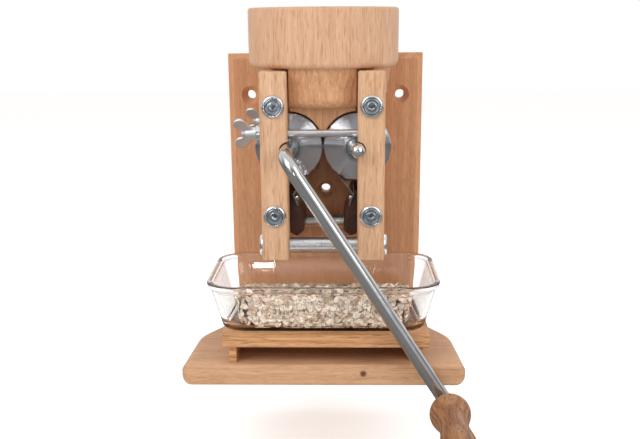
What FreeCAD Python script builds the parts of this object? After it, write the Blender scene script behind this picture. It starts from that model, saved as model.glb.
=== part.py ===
import FreeCAD, Part
import math
import os
import re

import Sketcher
from FreeCAD import Placement, Rotation, Vector

# Hand crank grain flaker on a wall board, in millimetres.
# The origin lies midway between the two upper wall screw holes, on the back face of the board.
# +X points to the right seen from the front, +Y into the wall and +Z up.
# A "drop" is a depth below the origin and a "reach" is a distance out from the wall.

SIZES = {
    # Wall board and its screw holes
    "board_width": 186,
    "board_thick": 20,
    "board_rise": 38.6,
    "board_drop": 213.9,
    "board_bevel": 5,
    "wall_hole_inset": 21.4,
    "wall_hole_bore": 9,
    "wall_hole_sink": 17.5,
    "lower_hole_drop": 91.5,
    # Base board
    "base_thick": 19,
    "base_reach": 183.6,
    "base_front_width": 244.5,
    "base_shoulder_width": 236.4,
    "base_shoulder_back": 70,
    "base_waist_back": 115.6,
    "base_corner": 9,
    "base_rounding": 3.5,
    # Posts
    "post_width": 22.7,
    "post_depth": 22,
    "post_top": 28.5,
    "post_foot": 12,
    "post_chamfer": 1.2,
    "post_reach": 150,
    "rear_post_gap": 7,
    # Rollers, shafts and bearings
    "roller_diameter": 58,
    "roller_gap": 0.5,
    "roller_rod_gap": 2.712,
    "roller_end_gap": 1.5,
    "roller_chamfer": 0.8,
    "shaft_diameter": 12,
    "shaft_notch_gap": 1,
    "bearing_diameter": 24,
    "bearing_width": 8,
    "bearing_proud": 1.1,
    "bearing_seat_gap": 0.05,
    "bearing_seat_inset": 0.2,
    "bearing_wall": 2,
    "ball_groove": 0.8,
    "race_gap": 0.12,
    "shaft_ball_diameter": 12.7,
    "shaft_ball_proud": 7.3,
    "ball_stud_diameter": 5,
    "ball_stud_length": 17,
    "ball_nose_gap": 0.4,
    # Hopper ring, funnel body, spacer block and throat
    "ring_board_gap": 0.5,
    "ring_diameter": 131,
    "ring_post_gap": 1.5,
    "ring_height": 49.4,
    "ring_rounding": 5,
    "ring_lip": 2.5,
    "ring_mouth_wall": 7.5,
    "ring_neck_wall": 19.5,
    "funnel_top_step": 6,
    "funnel_belly_step": 9.3,
    "funnel_belly_rise": 11,
    "funnel_foot_drop": 3,
    "funnel_rounding": 9,
    "outlet_radius": 18,
    "notch_gap": 1,
    "rabbet_side": 2,
    "spacer_width": 32,
    "spacer_rise": 12,
    "spacer_height": 16,
    "spacer_overlap": 6,
    "throat_width": 56,
    "throat_end_gap": 0.5,
    "throat_roller_gap": 1.2,
    "throat_slot_width": 14,
    "throat_slot_length": 62,
    "outlet_trough": 14,
    # Rods between the posts
    "stretcher_diameter": 12,
    "upper_stretcher_drop": 0,
    "lower_stretcher_gap": 21.1,
    "lower_rod_diameter": 12.7,
    "lower_rod_drop": 119.2,
    "lower_rod_gap": 0.2,
    "tension_diameter": 6.2,
    "tension_drop": 22.9,
    "tension_head_diameter": 9,
    "tension_head_sink": 5,
    "tension_tail": 16,
    # Frame screws and cup washers
    "screw_shank": 6,
    "screw_head": 13.8,
    "screw_head_height": 2.4,
    "screw_hex": 5,
    "screw_hex_depth": 2,
    "screw_length": 42,
    "screw_gap": 0.05,
    "pivot_gap": 0.4,
    "cup_diameter": 19.4,
    "cup_rim_radius": 8.1,
    "cup_height": 2.6,
    # Wood screws
    "wood_screw_shank": 4.5,
    "wood_screw_head": 9,
    "post_screw_length": 40,
    "post_screw_drop": 34,
    "post_screw_spacing": 36,
    "post_spacer_drop": 18,
    "post_spacer_length": 62,
    "post_spacer_inset": 1,
    "hopper_screw_length": 42,
    "hopper_screw_spacing": 16,
    "base_screw_length": 45,
    "base_screw_spacing": 62,
    # Wing nuts
    "gap_washer_diameter": 13.5,
    "gap_washer_thick": 3.6,
    "gap_washer_gap": 0.1,
    "nut_foot_radius": 5.4,
    "nut_top_radius": 4.7,
    "nut_height": 9.5,
    "nut_thread_gap": 0.06,
    "wing_thick": 2.4,
    "wing_radius": 5.5,
    "wing_out": 13,
    "wing_up": 10.5,
    "wing_root": 2,
    "wing_turn": 52,
    # Crank and grip
    "crank_diameter": 12,
    "crank_base_gap": 4,
    "crank_bend": 15.5,
    "crank_length": 248,
    "crank_overhang": 8,
    "crank_angle": 32.8,
    "spigot_diameter": 8,
    "spigot_length": 17,
    "spindle_diameter": 8,
    "spindle_head_diameter": 14,
    "spindle_head_height": 4,
    "spindle_gap": 0.06,
    "spindle_head_gap": 0.3,
    "spindle_mouth_gap": 0.4,
    "grip_gap": 0.5,
    "grip_length": 108,
    "grip_sink": 12,
    # Scrapers
    "scraper_end_gap": 9.7,
    "scraper_hub_radius": 9.5,
    "scraper_bore_gap": 0.08,
    "scraper_rounding": 3,
    "scraper_brow": 0.6,
    "scraper_face": 23,
    "scraper_top_out": 9.8,
    "scraper_top_up": 18.5,
    "scraper_chin_out": 23.5,
    "scraper_chin_down": 20,
    "scraper_foot_out": 17,
    "scraper_foot_down": 25,
    "scraper_heel_out": 8.8,
    "scraper_heel_down": 21,
    "blade_thick": 0.5,
    "blade_overhang": 0.5,
    "blade_tip_gap": 0.6,
    "blade_tip_angle": 32.03,
    "blade_width": 20.5,
    "blade_lean": 38.3,
    "flange_width": 11,
    "flange_lean": 21.8,
    "blade_screw_head": 5,
    "blade_screw_top": 3.4,
    "blade_screw_head_height": 1.5,
    "blade_screw_shank": 2.5,
    "blade_screw_length": 9,
    "blade_screw_spacing": 50,
    "spring_wire": 1.4,
    "spring_pitch": 2.1,
    "spring_turns": 3,
    "spring_gap": 0.5,
    # Glass bowl and the flakes in it
    "bowl_width": 200.5,
    "bowl_depth": 125,
    "bowl_inset": 2,
    "bowl_height": 41.2,
    "bowl_draft_side": 11,
    "bowl_draft_front": 8,
    "bowl_corner": 22,
    "bowl_foot_rounding": 4,
    "bowl_floor_rounding": 6,
    "bowl_wall": 3.6,
    "bowl_floor": 4,
    "bowl_lip": 1.5,
    "bowl_lip_height": 5,
    "flakes_below_rim": 5,
    "flakes_shelf": 22,
    "flakes_back_height": 5,
    "flakes_gap": 0.4,
    # Bench under the bowl
    "bench_width": 176.5,
    "bench_shift": 2.3,
    "bench_depth": 120,
    "bench_thick": 11.3,
    "bench_runner_width": 6.2,
    "bench_runner_inset": 5.6,
    "bench_runner_height": 14.9,
    "bench_runner_length": 112,
    "bench_rounding": 1.5,
}

# Places worked out from the sizes, as formulas that the helpers below expand.
PLACES = {
    "rod_radius": "stretcher_diameter / 2",
    "roller_radius": "roller_diameter / 2",
    "roller_side": "(roller_diameter + roller_gap) / 2",
    "post_spacing": "roller_diameter + roller_gap + 2 * bearing_seat_inset",
    "front_face": "-post_reach",
    "front_back": "-(post_reach - post_depth)",
    "rear_back": "-(board_thick + rear_post_gap)",
    "rear_front": "-(board_thick + rear_post_gap + post_depth)",
    "front_middle": "-(post_reach - post_depth / 2)",
    "rear_middle": "-(board_thick + rear_post_gap + post_depth / 2)",
    "post_inside": "post_spacing / 2",
    "post_outside": "post_spacing / 2 + post_width",
    "post_middle": "(post_spacing + post_width) / 2",
    "post_bottom": "-(lower_rod_drop + post_foot)",
    "rod_offset": "post_middle - roller_side",
    "rod_distance": "roller_radius + rod_radius + roller_rod_gap",
    "roller_drop": "upper_stretcher_drop + sqrt(rod_distance ^ 2 - rod_offset ^ 2)",
    "lower_stretcher_drop": "roller_drop + roller_radius + rod_radius + lower_stretcher_gap",
    "notch_radius": "max(shaft_diameter; crank_diameter) / 2 + shaft_notch_gap",
    "roller_front": "-(post_reach - post_depth - roller_end_gap)",
    "roller_back": "-(board_thick + rear_post_gap + post_depth + roller_end_gap)",
    "front_bearing_front": "-(post_reach - post_depth - bearing_proud + bearing_width)",
    "rear_bearing_back": "-(board_thick + rear_post_gap + post_depth + bearing_proud - bearing_width)",
    "shaft_back": "-(board_thick + rear_post_gap + post_depth + bearing_proud - bearing_width - 1)",
    "throat_middle": "(roller_front + roller_back) / 2",
    "seat_radius": "bearing_diameter / 2 + bearing_seat_gap",
    "ball_diameter": "(bearing_diameter - shaft_diameter) / 2 - 2 * bearing_wall + 2 * ball_groove",
    "shaft_ball_reach": "post_reach + shaft_ball_proud",
    "wall_hole_side": "board_width / 2 - wall_hole_inset",
    "ring_radius": "ring_diameter / 2",
    "ring_foot": "post_top + ring_post_gap",
    "mouth_radius": "ring_radius - ring_mouth_wall",
    "neck_radius": "ring_radius - ring_neck_wall",
    "funnel_top_radius": "ring_radius - funnel_top_step",
    "funnel_belly_radius": "ring_radius - funnel_belly_step",
    "hopper_reach": "board_thick + ring_board_gap + ring_radius",
    "crank_reach": "base_reach + crank_base_gap + crank_diameter / 2",
    "race_pitch": "(bearing_diameter + shaft_diameter) / 4",
    "scraper_front": "-(post_reach - post_depth - scraper_end_gap)",
    "scraper_back": "-(board_thick + rear_post_gap + post_depth + scraper_end_gap)",
    "blade_length": "rear_front - front_back + 2 * blade_overhang",
    "blade_tip_side": "roller_side - (roller_radius + blade_tip_gap) * sin(blade_tip_angle * 1 deg)",
    "blade_tip_drop": "roller_drop + (roller_radius + blade_tip_gap) * cos(blade_tip_angle * 1 deg)",
    "bend_side": "blade_tip_side + blade_width * sin(blade_lean * 1 deg)",
    "bend_drop": "blade_tip_drop + blade_width * cos(blade_lean * 1 deg)",
    "flange_across": "sin(flange_lean * 1 deg)",
    "flange_along": "cos(flange_lean * 1 deg)",
    "brow_side": "bend_side + blade_thick / 2 * flange_along + scraper_brow * flange_across",
    "brow_drop": "bend_drop + blade_thick / 2 * flange_across - scraper_brow * flange_along",
    "belly_side": "brow_side - scraper_face * flange_across",
    "belly_drop": "brow_drop + scraper_face * flange_along",
    "bench_top": "-(board_drop - bench_runner_height - bench_thick)",
    "bowl_reach": "base_reach - bowl_inset",
    "bowl_middle": "-(bowl_reach - bowl_depth / 2)",
}

doc = FreeCAD.newDocument("grain_flaker")
sheet = doc.addObject("Spreadsheet::Sheet", "Sizes")
for row, (word, size) in enumerate(SIZES.items(), start=1):
    sheet.set(f"A{row}", word)
    sheet.set(f"B{row}", str(size))
    sheet.setAlias(f"B{row}", word)
doc.recompute()

TURNS = {
    "up": Rotation(),
    "front": Rotation(Vector(1, 0, 0), 90),
    "back": Rotation(Vector(1, 0, 0), -90),
    "left": Rotation(Vector(0, 1, 0), -90),
    "right": Rotation(Vector(0, 1, 0), 90),
    "down": Rotation(Vector(1, 0, 0), 180),
}
SIDES = {"left": -1, "right": 1}
BALLS_IN_BEARING = 9
# Outline of the grip: share of its length from the crank, and radius there
GRIP_STATIONS = [(0, 9), (0.035, 13.1), (0.125, 16.9), (0.235, 14.8), (0.36, 12.1), (0.47, 12.0),
                 (0.62, 13.8), (0.78, 14.6), (0.9, 13.2), (0.975, 9.6), (1, 7.6)]
nodes = {}


def formula(text):
    """Sheet expression for a formula written in the names of sizes and places."""
    def expand(match):
        word = match.group()
        if word in PLACES:
            return f"({formula(PLACES[word])})"
        if word in SIZES:
            return f"Sizes.{word}"
        return word
    return re.sub(r"[a-z][a-z_]+", expand, str(text))


def value(text):
    """Number that a formula gives with the sizes as they stand."""
    return float(sheet.evalExpression(formula(text)))


def bind(thing, **formulas):
    """Tie an object's properties to the sheet."""
    for name, text in formulas.items():
        thing.setExpression(name, formula(text))
    return thing


def locate(thing, x, y, z, turn="up"):
    """Put an object at a place given by three formulas, turned from up to another heading."""
    thing.Placement = Placement(Vector(), TURNS[turn])
    for axis, text in zip("xyz", (x, y, z)):
        thing.setExpression(f"Placement.Base.{axis}", formula(text))
    return thing


def block(name, x, y, z):
    """Box between a low and a high formula along each axis."""
    box = doc.addObject("Part::Box", name)
    bind(box, Length=f"({x[1]}) - ({x[0]})", Width=f"({y[1]}) - ({y[0]})", Height=f"({z[1]}) - ({z[0]})")
    return locate(box, x[0], y[0], z[0])


def rod(name, radius, length, start=("0", "0", "0"), turn="up"):
    """Round bar from its start towards the heading."""
    bar = doc.addObject("Part::Cylinder", name)
    bind(bar, Radius=radius, Height=length)
    return locate(bar, *start, turn)


def cone(name, low_radius, high_radius, length, start=("0", "0", "0"), turn="up"):
    """Round taper from its start towards the heading."""
    taper = doc.addObject("Part::Cone", name)
    bind(taper, Radius1=low_radius, Radius2=high_radius, Height=length)
    return locate(taper, *start, turn)


def fuse(name, things):
    joined = doc.addObject("Part::MultiFuse", name)
    joined.Shapes = things
    return joined


def cut(name, base, tools):
    """Base with every tool taken out of it."""
    result = doc.addObject("Part::Cut", name)
    result.Base = base
    result.Tool = fuse(f"{name}_tools", tools) if len(tools) > 1 else tools[0]
    return result


def group(name, things):
    """Like pieces that share one node as separate solids."""
    bundle = doc.addObject("Part::Compound", name)
    bundle.Links = things
    return bundle


def node(name, thing):
    """Register a sub-part under the name of its file."""
    thing.Label = name
    nodes[name] = thing
    return thing


def origin_plane(body, role):
    for feature in body.Origin.OriginFeatures:
        if feature.Role == role:
            return feature
    raise ValueError(role)


def outline(body, role, corners, offset="0"):
    """Closed sketch of straight lines whose corners are pairs of formulas."""
    sketch = body.newObject("Sketcher::SketchObject", f"{body.Name}_outline")
    sketch.AttachmentSupport = (origin_plane(body, role), [""])
    sketch.MapMode = "FlatFace"
    sketch.setExpression("AttachmentOffset.Base.z", formula(offset))
    points = [Vector(value(u), value(v), 0) for u, v in corners]
    count = len(points)
    for index in range(count):
        line = Part.LineSegment(points[index], points[(index + 1) % count])
        sketch.addGeometry(line, False)
    for index in range(count):
        sketch.addConstraint(Sketcher.Constraint("Coincident", index, 2, (index + 1) % count, 1))
    for index, (u, v) in enumerate(corners):
        for kind, text in (("DistanceX", u), ("DistanceY", v)):
            constraint = Sketcher.Constraint(kind, -1, 1, index, 1, value(text))
            place = sketch.addConstraint(constraint)
            sketch.setExpression(f"Constraints[{place}]", formula(text))
    return sketch


def pad(body, sketch, length):
    feature = body.newObject("PartDesign::Pad", f"{body.Name}_pad")
    feature.Profile = sketch
    return bind(feature, Length=length)


def turned(body, sketch):
    """Revolve a sketch about its own vertical axis."""
    feature = body.newObject("PartDesign::Revolution", f"{body.Name}_turned")
    feature.Profile = sketch
    feature.ReferenceAxis = (sketch, ["V_Axis"])
    feature.Angle = 360
    return feature


def edges_where(feature, test, whole):
    """Names of the edges whose middle passes a test, and whose ends do too if the whole edge has to."""
    names = []
    for index, edge in enumerate(feature.Shape.Edges, start=1):
        points = [edge.valueAt((edge.FirstParameter + edge.LastParameter) / 2)]
        if whole:
            points += [vertex.Point for vertex in edge.Vertexes]
        if all(test(point) for point in points):
            names.append(f"Edge{index}")
    return names


def dress(body, kind, base, test, size, whole=True):
    """Fillet or Chamfer on the edges that pass a test."""
    doc.recompute()
    feature = body.newObject(f"PartDesign::{kind}", f"{body.Name}_{kind}_{len(body.Group)}")
    feature.Base = (base, edges_where(base, test, whole))
    return bind(feature, **{"Radius" if kind == "Fillet" else "Size": size})


def near(a, b, tolerance=0.01):
    return abs(a - b) < tolerance


def new_body(name):
    return doc.addObject("PartDesign::Body", f"{name}_body")


def screw(name, length, start, turn, shank="screw_shank"):
    """Flat head screw with a hex socket, its head standing on the start point."""
    head = cone(f"{name}_head", f"{shank} / 2", "screw_head / 2", "screw_head_height")
    stem = rod(f"{name}_stem", f"{shank} / 2", length, ("0", "0", f"-({length})"))
    socket = doc.addObject("Part::Prism", f"{name}_socket")
    socket.Polygon = 6
    bind(socket, Circumradius="screw_hex / sqrt(3)", Height="screw_hex_depth * 2")
    locate(socket, "0", "0", "screw_head_height - screw_hex_depth")
    return locate(cut(name, fuse(f"{name}_solid", [head, stem]), [socket]), *start, turn)


def cup_washer(name, start, turn):
    """Turned ring that carries the cone of a screw head above the wood."""
    rim = "screw_head / 2 + screw_gap * 2"
    ring = cone(f"{name}_ring", "cup_diameter / 2", "cup_rim_radius", "cup_height")
    seat = cone(f"{name}_seat", "screw_shank / 2 + screw_gap", rim, "screw_head_height")
    mouth = rod(f"{name}_mouth", rim, "cup_height", ("0", "0", "screw_head_height"))
    return locate(cut(name, ring, [seat, mouth]), *start, turn)


def wood_screw(name, length, start, turn):
    """Countersunk screw whose flat head lies level with the start point."""
    head_height = "(wood_screw_head - wood_screw_shank) / 2"
    head = cone(f"{name}_head", "wood_screw_shank / 2", "wood_screw_head / 2", head_height,
                ("0", "0", f"-({head_height})"))
    stem = rod(f"{name}_stem", "wood_screw_shank / 2", f"{length} - {head_height}",
               ("0", "0", f"-({length})"))
    return locate(fuse(name, [head, stem]), *start, turn)


def wood_screw_hole(name, length, start, turn):
    """Hole that a wood screw fills, a hair wider than the screw."""
    head_height = "(wood_screw_head - wood_screw_shank) / 2"
    radius = "wood_screw_shank / 2 + screw_gap"
    sink = cone(f"{name}_sink", radius, "wood_screw_head / 2 + screw_gap", head_height,
                ("0", "0", f"-({head_height})"))
    bore = rod(f"{name}_bore", radius, f"{length} + 1", ("0", "0", f"-({length}) - 1"))
    return locate(fuse(name, [sink, bore]), *start, turn)


def make_wall_board():
    """Board with a bevel round its front, three wall holes and holes for the screws from behind."""
    body = new_body("wall_board")
    half, bottom, top = "board_width / 2", "-board_drop", "board_rise"
    corners = [(f"-{half}", bottom), (half, bottom), (half, top), (f"-{half}", top)]
    slab = pad(body, outline(body, "XZ_Plane", corners), "board_thick")
    dress(body, "Chamfer", slab, lambda p: near(p.y, -SIZES["board_thick"]), "board_bevel")
    places = [("-wall_hole_side", "0"), ("wall_hole_side", "0"), ("0", "-lower_hole_drop")]
    tools = []
    for index, (x, z) in enumerate(places, start=1):
        sink_depth = "(wall_hole_sink - wall_hole_bore) / 2"
        tools.append(rod(f"wall_hole_{index}", "wall_hole_bore / 2", "board_thick + 2", (x, "1", z), "front"))
        tools.append(cone(f"wall_sink_{index}", "wall_hole_bore / 2", "wall_hole_sink / 2", sink_depth,
                          (x, f"-(board_thick - {sink_depth})", z), "front"))
    for index, start in enumerate(post_screw_starts(), start=1):
        tools.append(wood_screw_hole(f"board_post_hole_{index}", "post_screw_length", start, "back"))
    for index, start in enumerate(hopper_screw_starts(), start=1):
        tools.append(wood_screw_hole(f"board_hopper_hole_{index}", "hopper_screw_length", start, "back"))
    for index, start in enumerate(base_screw_starts(), start=1):
        tools.append(wood_screw_hole(f"board_base_hole_{index}", "base_screw_length", start, "down"))
    node("wall_board", cut("wall_board_drilled", body, tools))


def post_screw_starts():
    """Two screws from the back of the board into the right rear post."""
    drops = ("post_screw_drop", "post_screw_drop + post_screw_spacing")
    return [("post_middle", "0", f"-({drop})") for drop in drops]


def hopper_screw_starts():
    """Two screws from the back of the board through the spacer block into the funnel body."""
    height = "spacer_rise + spacer_height / 2"
    return [("-hopper_screw_spacing / 2", "0", height), ("hopper_screw_spacing / 2", "0", height)]


def base_screw_starts():
    """Three screws up through the base into the bottom edge of the board."""
    bottom = "-(board_drop + base_thick)"
    return [(f"{step} * base_screw_spacing", "-board_thick / 2", bottom) for step in (-1, 0, 1)]


def make_base():
    """Shelf as wide as the board at the wall, widening to the front, and its screws."""
    body = new_body("base_board")
    half, shoulder, front = "board_width / 2", "base_shoulder_width / 2", "base_front_width / 2"
    corners = [
        (f"-{half}", "0"),
        (f"-{half}", "-(base_reach - base_waist_back)"),
        (f"-{shoulder}", "-(base_reach - base_shoulder_back)"),
        (f"-{front}", "-base_reach"),
        (front, "-base_reach"),
        (shoulder, "-(base_reach - base_shoulder_back)"),
        (half, "-(base_reach - base_waist_back)"),
        (half, "0"),
    ]
    slab = pad(body, outline(body, "XY_Plane", corners, "-(board_drop + base_thick)"), "base_thick")
    ahead, aside = value("base_reach - base_shoulder_back") - 1, value(shoulder) - 1
    cornered = dress(body, "Fillet", slab, lambda p: -p.y > ahead and abs(p.x) > aside, "base_corner")
    dress(body, "Fillet", cornered, lambda p: p.y < -1, "base_rounding", whole=False)
    holes = []
    screws = []
    for index, start in enumerate(base_screw_starts(), start=1):
        holes.append(wood_screw_hole(f"base_hole_{index}", "base_screw_length", start, "down"))
        screws.append(wood_screw(f"base_screw_{index}", "base_screw_length", start, "down"))
    node("base_board", cut("base_board_drilled", body, holes))
    node("base_screws", group("base_screw_group", screws))


def make_post(side, end):
    """Square post drilled for its rods, with a half round seat for the bearing in its inner edge."""
    sign = SIDES[side]
    name = f"{side}_{end}_post"
    low, high = ("front_face", "front_back") if end == "front" else ("rear_front", "rear_back")
    middle = "front_middle" if end == "front" else "rear_middle"
    body = new_body(name)
    inner, outer = f"{sign} * post_inside", f"{sign} * post_outside"
    corners = [(inner, low), (outer, low), (outer, high), (inner, high)]
    bar = pad(body, outline(body, "XY_Plane", corners, "post_bottom"), "post_top - post_bottom")
    dress(body, "Chamfer", bar, lambda p: True, "post_chamfer")
    centre, axle = f"{sign} * post_middle", f"{sign} * roller_side"
    loose = "pivot_gap" if side == "left" else "screw_gap"
    tools = []
    for level in ("upper", "lower"):
        start = (centre, f"{high} + 1", f"-{level}_stretcher_drop")
        tools.append(rod(f"{name}_{level}_hole", "screw_shank / 2 + screw_gap", "post_depth + 2",
                         start, "front"))
    across = f"{sign} * (post_inside - 1)"
    tools.append(rod(f"{name}_rod_hole", f"screw_shank / 2 + {loose}", "post_width + 2",
                     (across, middle, "-lower_rod_drop"), side))
    tools.append(rod(f"{name}_tension_hole", f"tension_diameter / 2 + {loose}", "post_width + 2",
                     (across, middle, "-tension_drop"), side))
    if side == "right":
        tools.append(rod(f"{name}_head_hole", "tension_head_diameter / 2 + screw_gap",
                         "tension_head_sink + 1",
                         ("post_outside - tension_head_sink", middle, "-tension_drop"), side))
    if end == "front":
        tools.append(rod(f"{name}_seat", "seat_radius", "bearing_width + 2",
                         (axle, "front_bearing_front", "-roller_drop"), "back"))
        tools.append(rod(f"{name}_notch", "notch_radius", "post_depth + 2",
                         (axle, f"{low} - 1", "-roller_drop"), "back"))
    else:
        tools.append(rod(f"{name}_seat", "seat_radius", "bearing_width + 2",
                         (axle, "rear_bearing_back", "-roller_drop"), "front"))
        tools.append(rod(f"{name}_notch", "notch_radius", "bearing_width + 4",
                         (axle, "rear_bearing_back + 2", "-roller_drop"), "front"))
    if name == "right_rear_post":
        for index, start in enumerate(post_screw_starts(), start=1):
            tools.append(wood_screw_hole(f"{name}_screw_hole_{index}", "post_screw_length", start, "back"))
    node(name, cut(f"{name}_drilled", body, tools))


def make_post_fixing():
    """Strip that holds the right rear post off the board, and the two screws through both."""
    strip = block("post_spacer_strip",
                  ("post_inside + post_spacer_inset", "post_outside - post_spacer_inset"),
                  ("rear_back", "-board_thick"),
                  ("-(post_spacer_drop + post_spacer_length)", "-post_spacer_drop"))
    holes, screws = [], []
    for index, start in enumerate(post_screw_starts(), start=1):
        holes.append(wood_screw_hole(f"post_spacer_hole_{index}", "post_screw_length", start, "back"))
        screws.append(wood_screw(f"post_screw_{index}", "post_screw_length", start, "back"))
    node("post_spacer", cut("post_spacer_drilled", strip, holes))
    node("right_post_screws", group("post_screw_group", screws))


def make_frame_hardware(side):
    """Spacer rods between the posts of one side, with their screws and cup washers."""
    sign = SIDES[side]
    centre = f"{sign} * post_middle"
    rods, washers, screws = [], [], []
    for level in ("upper", "lower"):
        drop = f"-{level}_stretcher_drop"
        bar = rod(f"{side}_{level}_bar", "rod_radius", "rear_front - front_back",
                  (centre, "front_back", drop), "back")
        bore = rod(f"{side}_{level}_bore", "screw_shank / 2 + screw_gap", "rear_front - front_back + 2",
                   (centre, "front_back - 1", drop), "back")
        rods.append(cut(f"{side}_{level}_stretcher", bar, [bore]))
        for face, turn in (("front_face", "front"), ("rear_back", "back")):
            washers.append(cup_washer(f"{side}_{level}_{turn}_cup", (centre, face, drop), turn))
            screws.append(screw(f"{side}_{level}_{turn}_screw", "screw_length", (centre, face, drop), turn))
    for end in ("front", "rear"):
        start = (f"{sign} * post_outside", f"{end}_middle", "-lower_rod_drop")
        washers.append(cup_washer(f"{side}_{end}_rod_cup", start, side))
        screws.append(screw(f"{side}_{end}_rod_screw", "screw_length", start, side))
    node(f"{side}_stretchers", group(f"{side}_stretcher_group", rods))
    node(f"{side}_cup_washers", group(f"{side}_cup_group", washers))
    node(f"{side}_frame_screws", group(f"{side}_screw_group", screws))


def make_cross_rods():
    """Thick rods that join the two sides low down, and thin ones that the wing nuts pull on."""
    lower, tension = [], []
    for end in ("front", "rear"):
        middle = f"{end}_middle"
        start = ("-(post_inside - lower_rod_gap)", middle, "-lower_rod_drop")
        bar = rod(f"{end}_lower_bar", "lower_rod_diameter / 2", "post_spacing - lower_rod_gap",
                  start, "right")
        left_bore = rod(f"{end}_lower_left_bore", "screw_shank / 2 + pivot_gap", "post_inside",
                        ("-(post_inside + 1)", middle, "-lower_rod_drop"), "right")
        right_bore = rod(f"{end}_lower_right_bore", "screw_shank / 2 + screw_gap", "post_inside",
                         ("post_inside + 1", middle, "-lower_rod_drop"), "left")
        lower.append(cut(f"{end}_lower_rod", bar, [left_bore, right_bore]))
        stem = rod(f"{end}_tension_bar", "tension_diameter / 2",
                   "post_outside * 2 + tension_tail - tension_head_sink",
                   ("-(post_outside + tension_tail)", middle, "-tension_drop"), "right")
        head = rod(f"{end}_tension_head", "tension_head_diameter / 2", "tension_head_sink - 1",
                   ("post_outside - tension_head_sink", middle, "-tension_drop"), "right")
        tension.append(fuse(f"{end}_tension_rod", [stem, head]))
    node("lower_rods", group("lower_rod_group", lower))
    node("tension_rods", group("tension_rod_group", tension))


def make_gap_nut(end):
    """Washer and wing nut on the left end of a tension rod."""
    face = "-(post_outside + gap_washer_gap)"
    middle = f"{end}_middle"
    plate = rod(f"{end}_washer_plate", "gap_washer_diameter / 2", "gap_washer_thick",
                (face, middle, "-tension_drop"), "left")
    bore = rod(f"{end}_washer_bore", "tension_diameter / 2 + nut_thread_gap", "gap_washer_thick + 2",
               ("-(post_outside + gap_washer_gap - 1)", middle, "-tension_drop"), "left")
    node(f"{end}_gap_washer", cut(f"{end}_washer_drilled", plate, [bore]))
    hub = cone(f"{end}_nut_hub", "nut_foot_radius", "nut_top_radius", "nut_height")
    wings = []
    half, rise = "wing_radius * cos(60 deg)", "wing_radius * sin(60 deg)"
    for index, sign in enumerate((1, -1), start=1):
        wings.append(rod(f"{end}_wing_lobe_{index}", "wing_radius", "wing_thick",
                         ("-wing_thick / 2", f"{sign} * wing_up", "wing_out"), "right"))
        body = new_body(f"{end}_wing_{index}")
        corners = [
            (f"{sign} * wing_root", "wing_root / 2"),
            (f"{sign} * (wing_up + {half})", f"wing_out - {rise}"),
            (f"{sign} * (wing_up - {half})", f"wing_out + {rise}"),
            (f"{sign} * wing_root", "nut_height - wing_root / 2"),
        ]
        pad(body, outline(body, "YZ_Plane", corners, "-wing_thick / 2"), "wing_thick")
        wings.append(body)
    thread = rod(f"{end}_nut_thread", "tension_diameter / 2 + nut_thread_gap",
                 "nut_height + wing_out + wing_radius", ("0", "0", "-1"))
    nut = cut(f"{end}_nut_tapped", fuse(f"{end}_nut_solid", [hub] + wings), [thread])
    nut.Placement = Placement(Vector(), TURNS["left"] * Rotation(Vector(0, 0, 1), SIZES["wing_turn"]))
    bind(nut, **{
        "Placement.Base.x": f"{face} - gap_washer_thick",
        "Placement.Base.y": middle,
        "Placement.Base.z": "-tension_drop",
    })
    node(f"{end}_wing_nut", nut)


def make_bearings(side):
    """Ball bearings at the two ends of one roller: outer rings, inner rings and balls."""
    axle = f"{SIDES[side]} * roller_side"
    outers, inners, balls = [], [], []
    for end, low in (("front", "front_bearing_front"), ("rear", "rear_bearing_back - bearing_width")):
        centre = (axle, f"{low} + bearing_width / 2", "-roller_drop")
        for part, outside, inside in (
            ("outer", "bearing_diameter / 2", "bearing_diameter / 2 - bearing_wall"),
            ("inner", "shaft_diameter / 2 + bearing_wall", "shaft_diameter / 2"),
        ):
            name = f"{side}_{end}_{part}"
            ring = rod(f"{name}_solid", outside, "bearing_width", (axle, low, "-roller_drop"), "back")
            bore = rod(f"{name}_bore", inside, "bearing_width + 2",
                       (axle, f"{low} - 1", "-roller_drop"), "back")
            race = doc.addObject("Part::Torus", f"{name}_race")
            bind(race, Radius1="race_pitch", Radius2="ball_diameter / 2 + race_gap")
            locate(race, *centre, "back")
            ready = cut(f"{name}_ring", ring, [bore, race])
            (outers if part == "outer" else inners).append(ready)
        for step in range(BALLS_IN_BEARING):
            angle = f"{360 / BALLS_IN_BEARING * step:.0f} deg"
            ball = doc.addObject("Part::Sphere", f"{side}_{end}_ball_{step + 1}")
            bind(ball, Radius="ball_diameter / 2")
            balls.append(locate(ball, f"{axle} + race_pitch * cos({angle})", centre[1],
                                f"race_pitch * sin({angle}) - roller_drop"))
    node(f"{side}_bearing_outer_rings", group(f"{side}_outer_group", outers))
    node(f"{side}_bearing_inner_rings", group(f"{side}_inner_group", inners))
    node(f"{side}_bearing_balls", group(f"{side}_ball_group", balls))


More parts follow.
